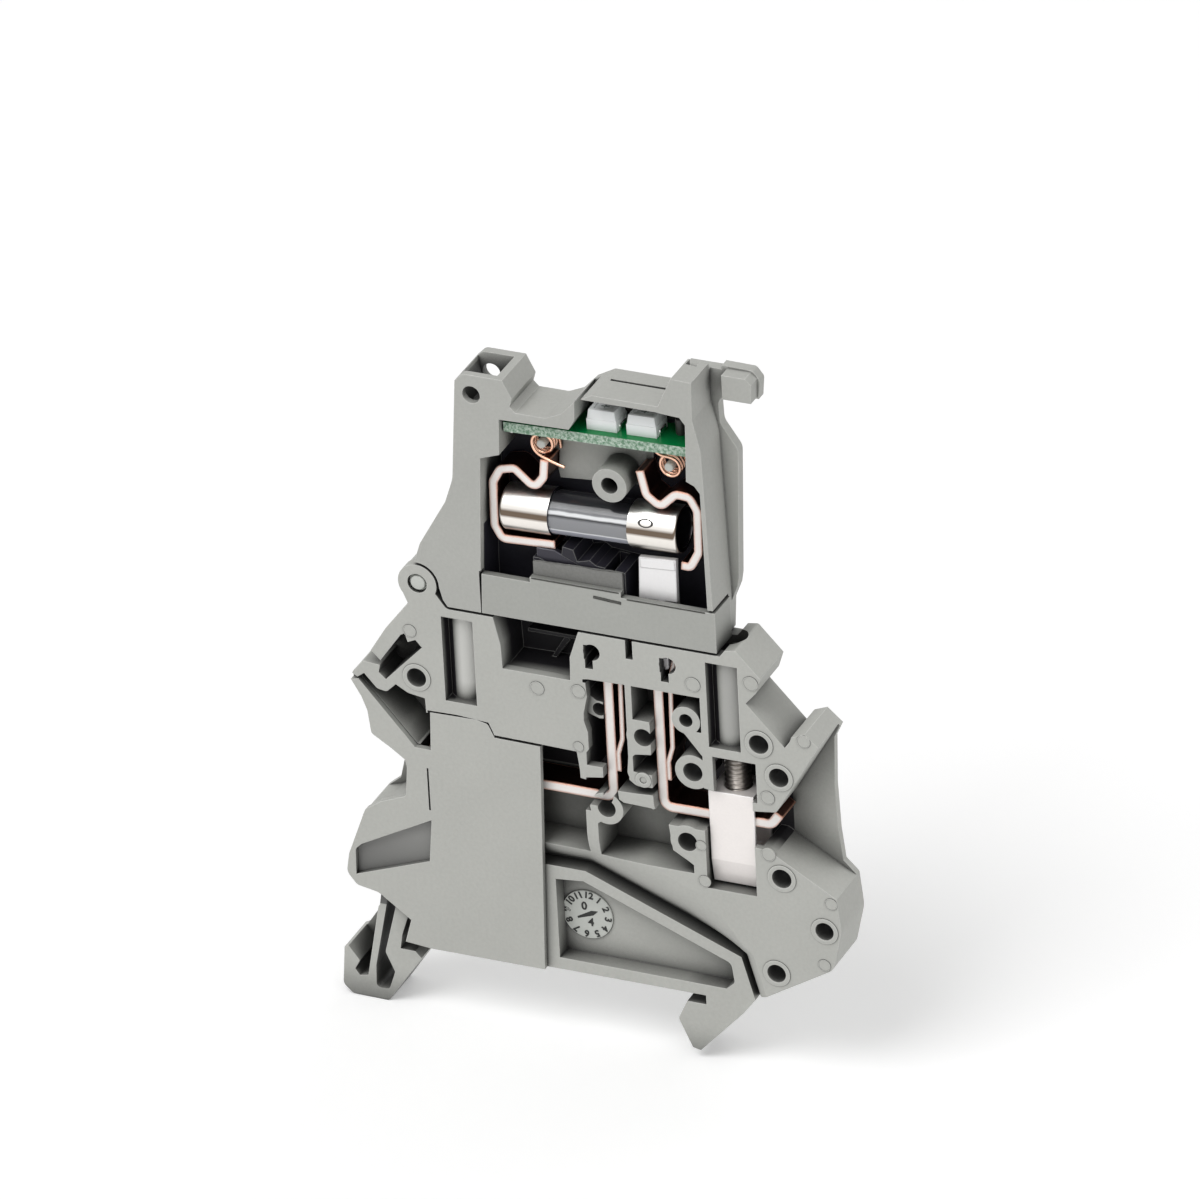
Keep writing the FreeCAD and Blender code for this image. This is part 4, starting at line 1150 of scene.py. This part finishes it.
def addDateDial():
    disc = addRod((dial["x"], dial["floor"], dial["z"]), dial["radius"], 2 * dial["height"], alongY, 72)
    editFaces(disc, lambda face: face.normal.y < -0.9)
    insetFaces(dial["rim"])
    pushFaces(0, dial["sink"], 0)
    endEdit()
    finishPiece(disc, "dateDial", "base", dialLight)
    words = []
    for number in range(1, dial["numbers"] + 1):
        angle = math.radians(dial["firstAngle"] - 360 / dial["numbers"] * number)
        words.append(addDialText(str(number), dial["numberSize"], dial["numberRadius"] * math.cos(angle),
                                 dial["numberRadius"] * math.sin(angle), angle - math.pi / 2))
    for text, x, z in dial["digits"]:
        words.append(addDialText(text, dial["digitSize"], x, z, 0.0))
    words.append(addDialHand())
    finishPiece(joinPieces(words), "dateNumerals", "base", dialInk)


# Sawn places of the lever

wallStub = {"left": 0.3, "right": 10.4, "foot": 46.9, "topLeft": 49.1, "topRight": 48.75, "front": -2.29,
            "back": -1.96, "cuts": 14, "rough": 0.06, "seed": 3}


def addWallStub():
    # what is left of the lever's near wall behind the strip, sawn off ragged
    look = wallStub
    width = look["right"] - look["left"]
    height = look["topLeft"] - look["foot"]
    stub = addBox((look["left"] + width / 2, (look["front"] + look["back"]) / 2, look["foot"] + height / 2),
                  (width, look["back"] - look["front"], height))
    editAll(stub)
    bpy.ops.mesh.subdivide(number_cuts=look["cuts"])
    endEdit()
    editFaces(stub, lambda face: face.normal.z > 0.9)
    bpy.ops.transform.rotate(value=math.atan2(look["topLeft"] - look["topRight"], width), orient_axis="Y",
                             center_override=(look["left"] * mm, 0, look["topLeft"] * mm))
    bpy.ops.transform.vertex_random(offset=look["rough"] * mm, seed=look["seed"])
    endEdit()
    finishPiece(stub, "nearWallStub", "lever", sawnWall, smoothAngle=25)


# the runs' start, end and width on the strip's front
cutMarks = {"seed": 7, "rough": 0.11, "proud": 0.03, "cuts": 26, "runs": [
    ((7.4, 46.55), (10.5, 46.35), 0.3),
    ((11.2, 46.92), (20.0, 46.92), 0.14),
    ((0.4, 47.52), (10.3, 47.52), 0.14),
]}


def addCutMarks():
    # ragged bands where the near wall was sawn away
    stripFront = boxOf("lever_cover")[0].y
    bands = []
    for number, (start, end, width) in enumerate(cutMarks["runs"]):
        along = Vector(end) - Vector(start)
        band = addBox((0, 0, 0), (along.length, 2 * cutMarks["proud"], width))
        editAll(band)
        bpy.ops.mesh.subdivide(number_cuts=cutMarks["cuts"])
        bpy.ops.transform.vertex_random(offset=cutMarks["rough"] * width * mm,
                                        seed=cutMarks["seed"] + number)
        endEdit()
        band.rotation_euler = (0, -math.atan2(along.y, along.x), 0)
        band.location = Vector(((start[0] + end[0]) / 2, stripFront, (start[1] + end[1]) / 2)) * mm
        bands.append(band)
    finishPiece(joinPieces(bands), "sawnEdges", "lever", sawnPlastic, smoothAngle=20)


addEjectorDiscs()
addCollars()
addDateDial()
addWallStub()
addCutMarks()
print("mould marks added")


# Floor, light and camera

def seenStraight(tree):
    # 1 for rays from the camera, from gloss and through glass, which show the white room itself
    rays = tree.nodes.new("ShaderNodeLightPath")
    seen = mathNode(tree, "MAXIMUM", rays.outputs["Is Camera Ray"], rays.outputs["Is Glossy Ray"])
    return mathNode(tree, "MAXIMUM", seen, rays.outputs["Is Transmission Ray"])


floorLook = {"size": 6.0, "colour": (0.9, 0.9, 0.9, 1), "roughness": 0.9, "glow": 0.24}


def makeFloor():
    lowest = min(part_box(name)[0].z for name in nodes)
    deselectAll()
    bpy.ops.mesh.primitive_plane_add(size=floorLook["size"], location=(0, 0, lowest))
    floor = bpy.context.object
    floor.name = "floor"
    material, tree, shader = newMaterial("paleFloor")
    shader.inputs["Base Color"].default_value = floorLook["colour"]
    shader.inputs["Roughness"].default_value = floorLook["roughness"]
    shader.inputs["Specular IOR Level"].default_value = 0.0
    shader.inputs["Emission Color"].default_value = (1, 1, 1, 1)
    glow = mathNode(tree, "MULTIPLY", seenStraight(tree), floorLook["glow"])
    connect(tree, glow, shader.inputs["Emission Strength"])
    floor.data.materials.append(material)


# each lamp's place and size in metres, and its power in watts
light = {
    "sky": 0.42,
    "lamps": {
        "keyLamp": ((-0.35, -0.7, 1.2), 0.8, 10.0),
        "fillLamp": ((0.95, -0.75, 0.55), 1.0, 2.6),
        "backLamp": ((0.3, 0.9, 0.9), 0.8, 2.0),
    },
    "target": (5 * mm, 0, 32 * mm),
}


def makeLight():
    world = bpy.data.worlds.new("softRoom")
    bpy.context.scene.world = world
    world.use_nodes = True
    tree = world.node_tree
    background = tree.nodes["Background"]
    background.inputs["Color"].default_value = (1, 1, 1, 1)
    strength = spread(tree, seenStraight(tree), 0.0, 1.0, light["sky"], 1.0)
    connect(tree, strength, background.inputs["Strength"])
    for name, (place, size, power) in light["lamps"].items():
        data = bpy.data.lights.new(name, "AREA")
        data.shape = "SQUARE"
        data.size = size
        data.energy = power
        lampObject = bpy.data.objects.new(name, data)
        bpy.context.scene.collection.objects.link(lampObject)
        aim = Vector(light["target"]) - Vector(place)
        lampObject.location = place
        lampObject.rotation_euler = aim.to_track_quat("-Z", "Y").to_euler()


# the camera's place in metres and its three axes
view = {
    "place": (0.55992, -1.17884, 0.77561),
    "right": (0.91519, 0.40026, -0.04715),
    "up": (-0.15876, 0.46555, 0.87067),
    "forward": (-0.37045, 0.78934, -0.48961),
    "lens": 431.3,
    "sensor": 36,
    "nearest": 0.05,
    "farthest": 20,
}


def makeCamera():
    data = bpy.data.cameras.new("viewCamera")
    data.lens = view["lens"]
    data.sensor_width = view["sensor"]
    data.clip_start = view["nearest"]
    data.clip_end = view["farthest"]
    camera = bpy.data.objects.new("viewCamera", data)
    bpy.context.scene.collection.objects.link(camera)
    turn = Matrix((view["right"], view["up"], -Vector(view["forward"]))).transposed()
    camera.matrix_world = Matrix.Translation(view["place"]) @ turn.to_4x4()
    bpy.context.scene.camera = camera


makeFloor()
makeLight()
makeCamera()
bpy.context.scene.view_settings.view_transform = "Standard"

print("scene done")
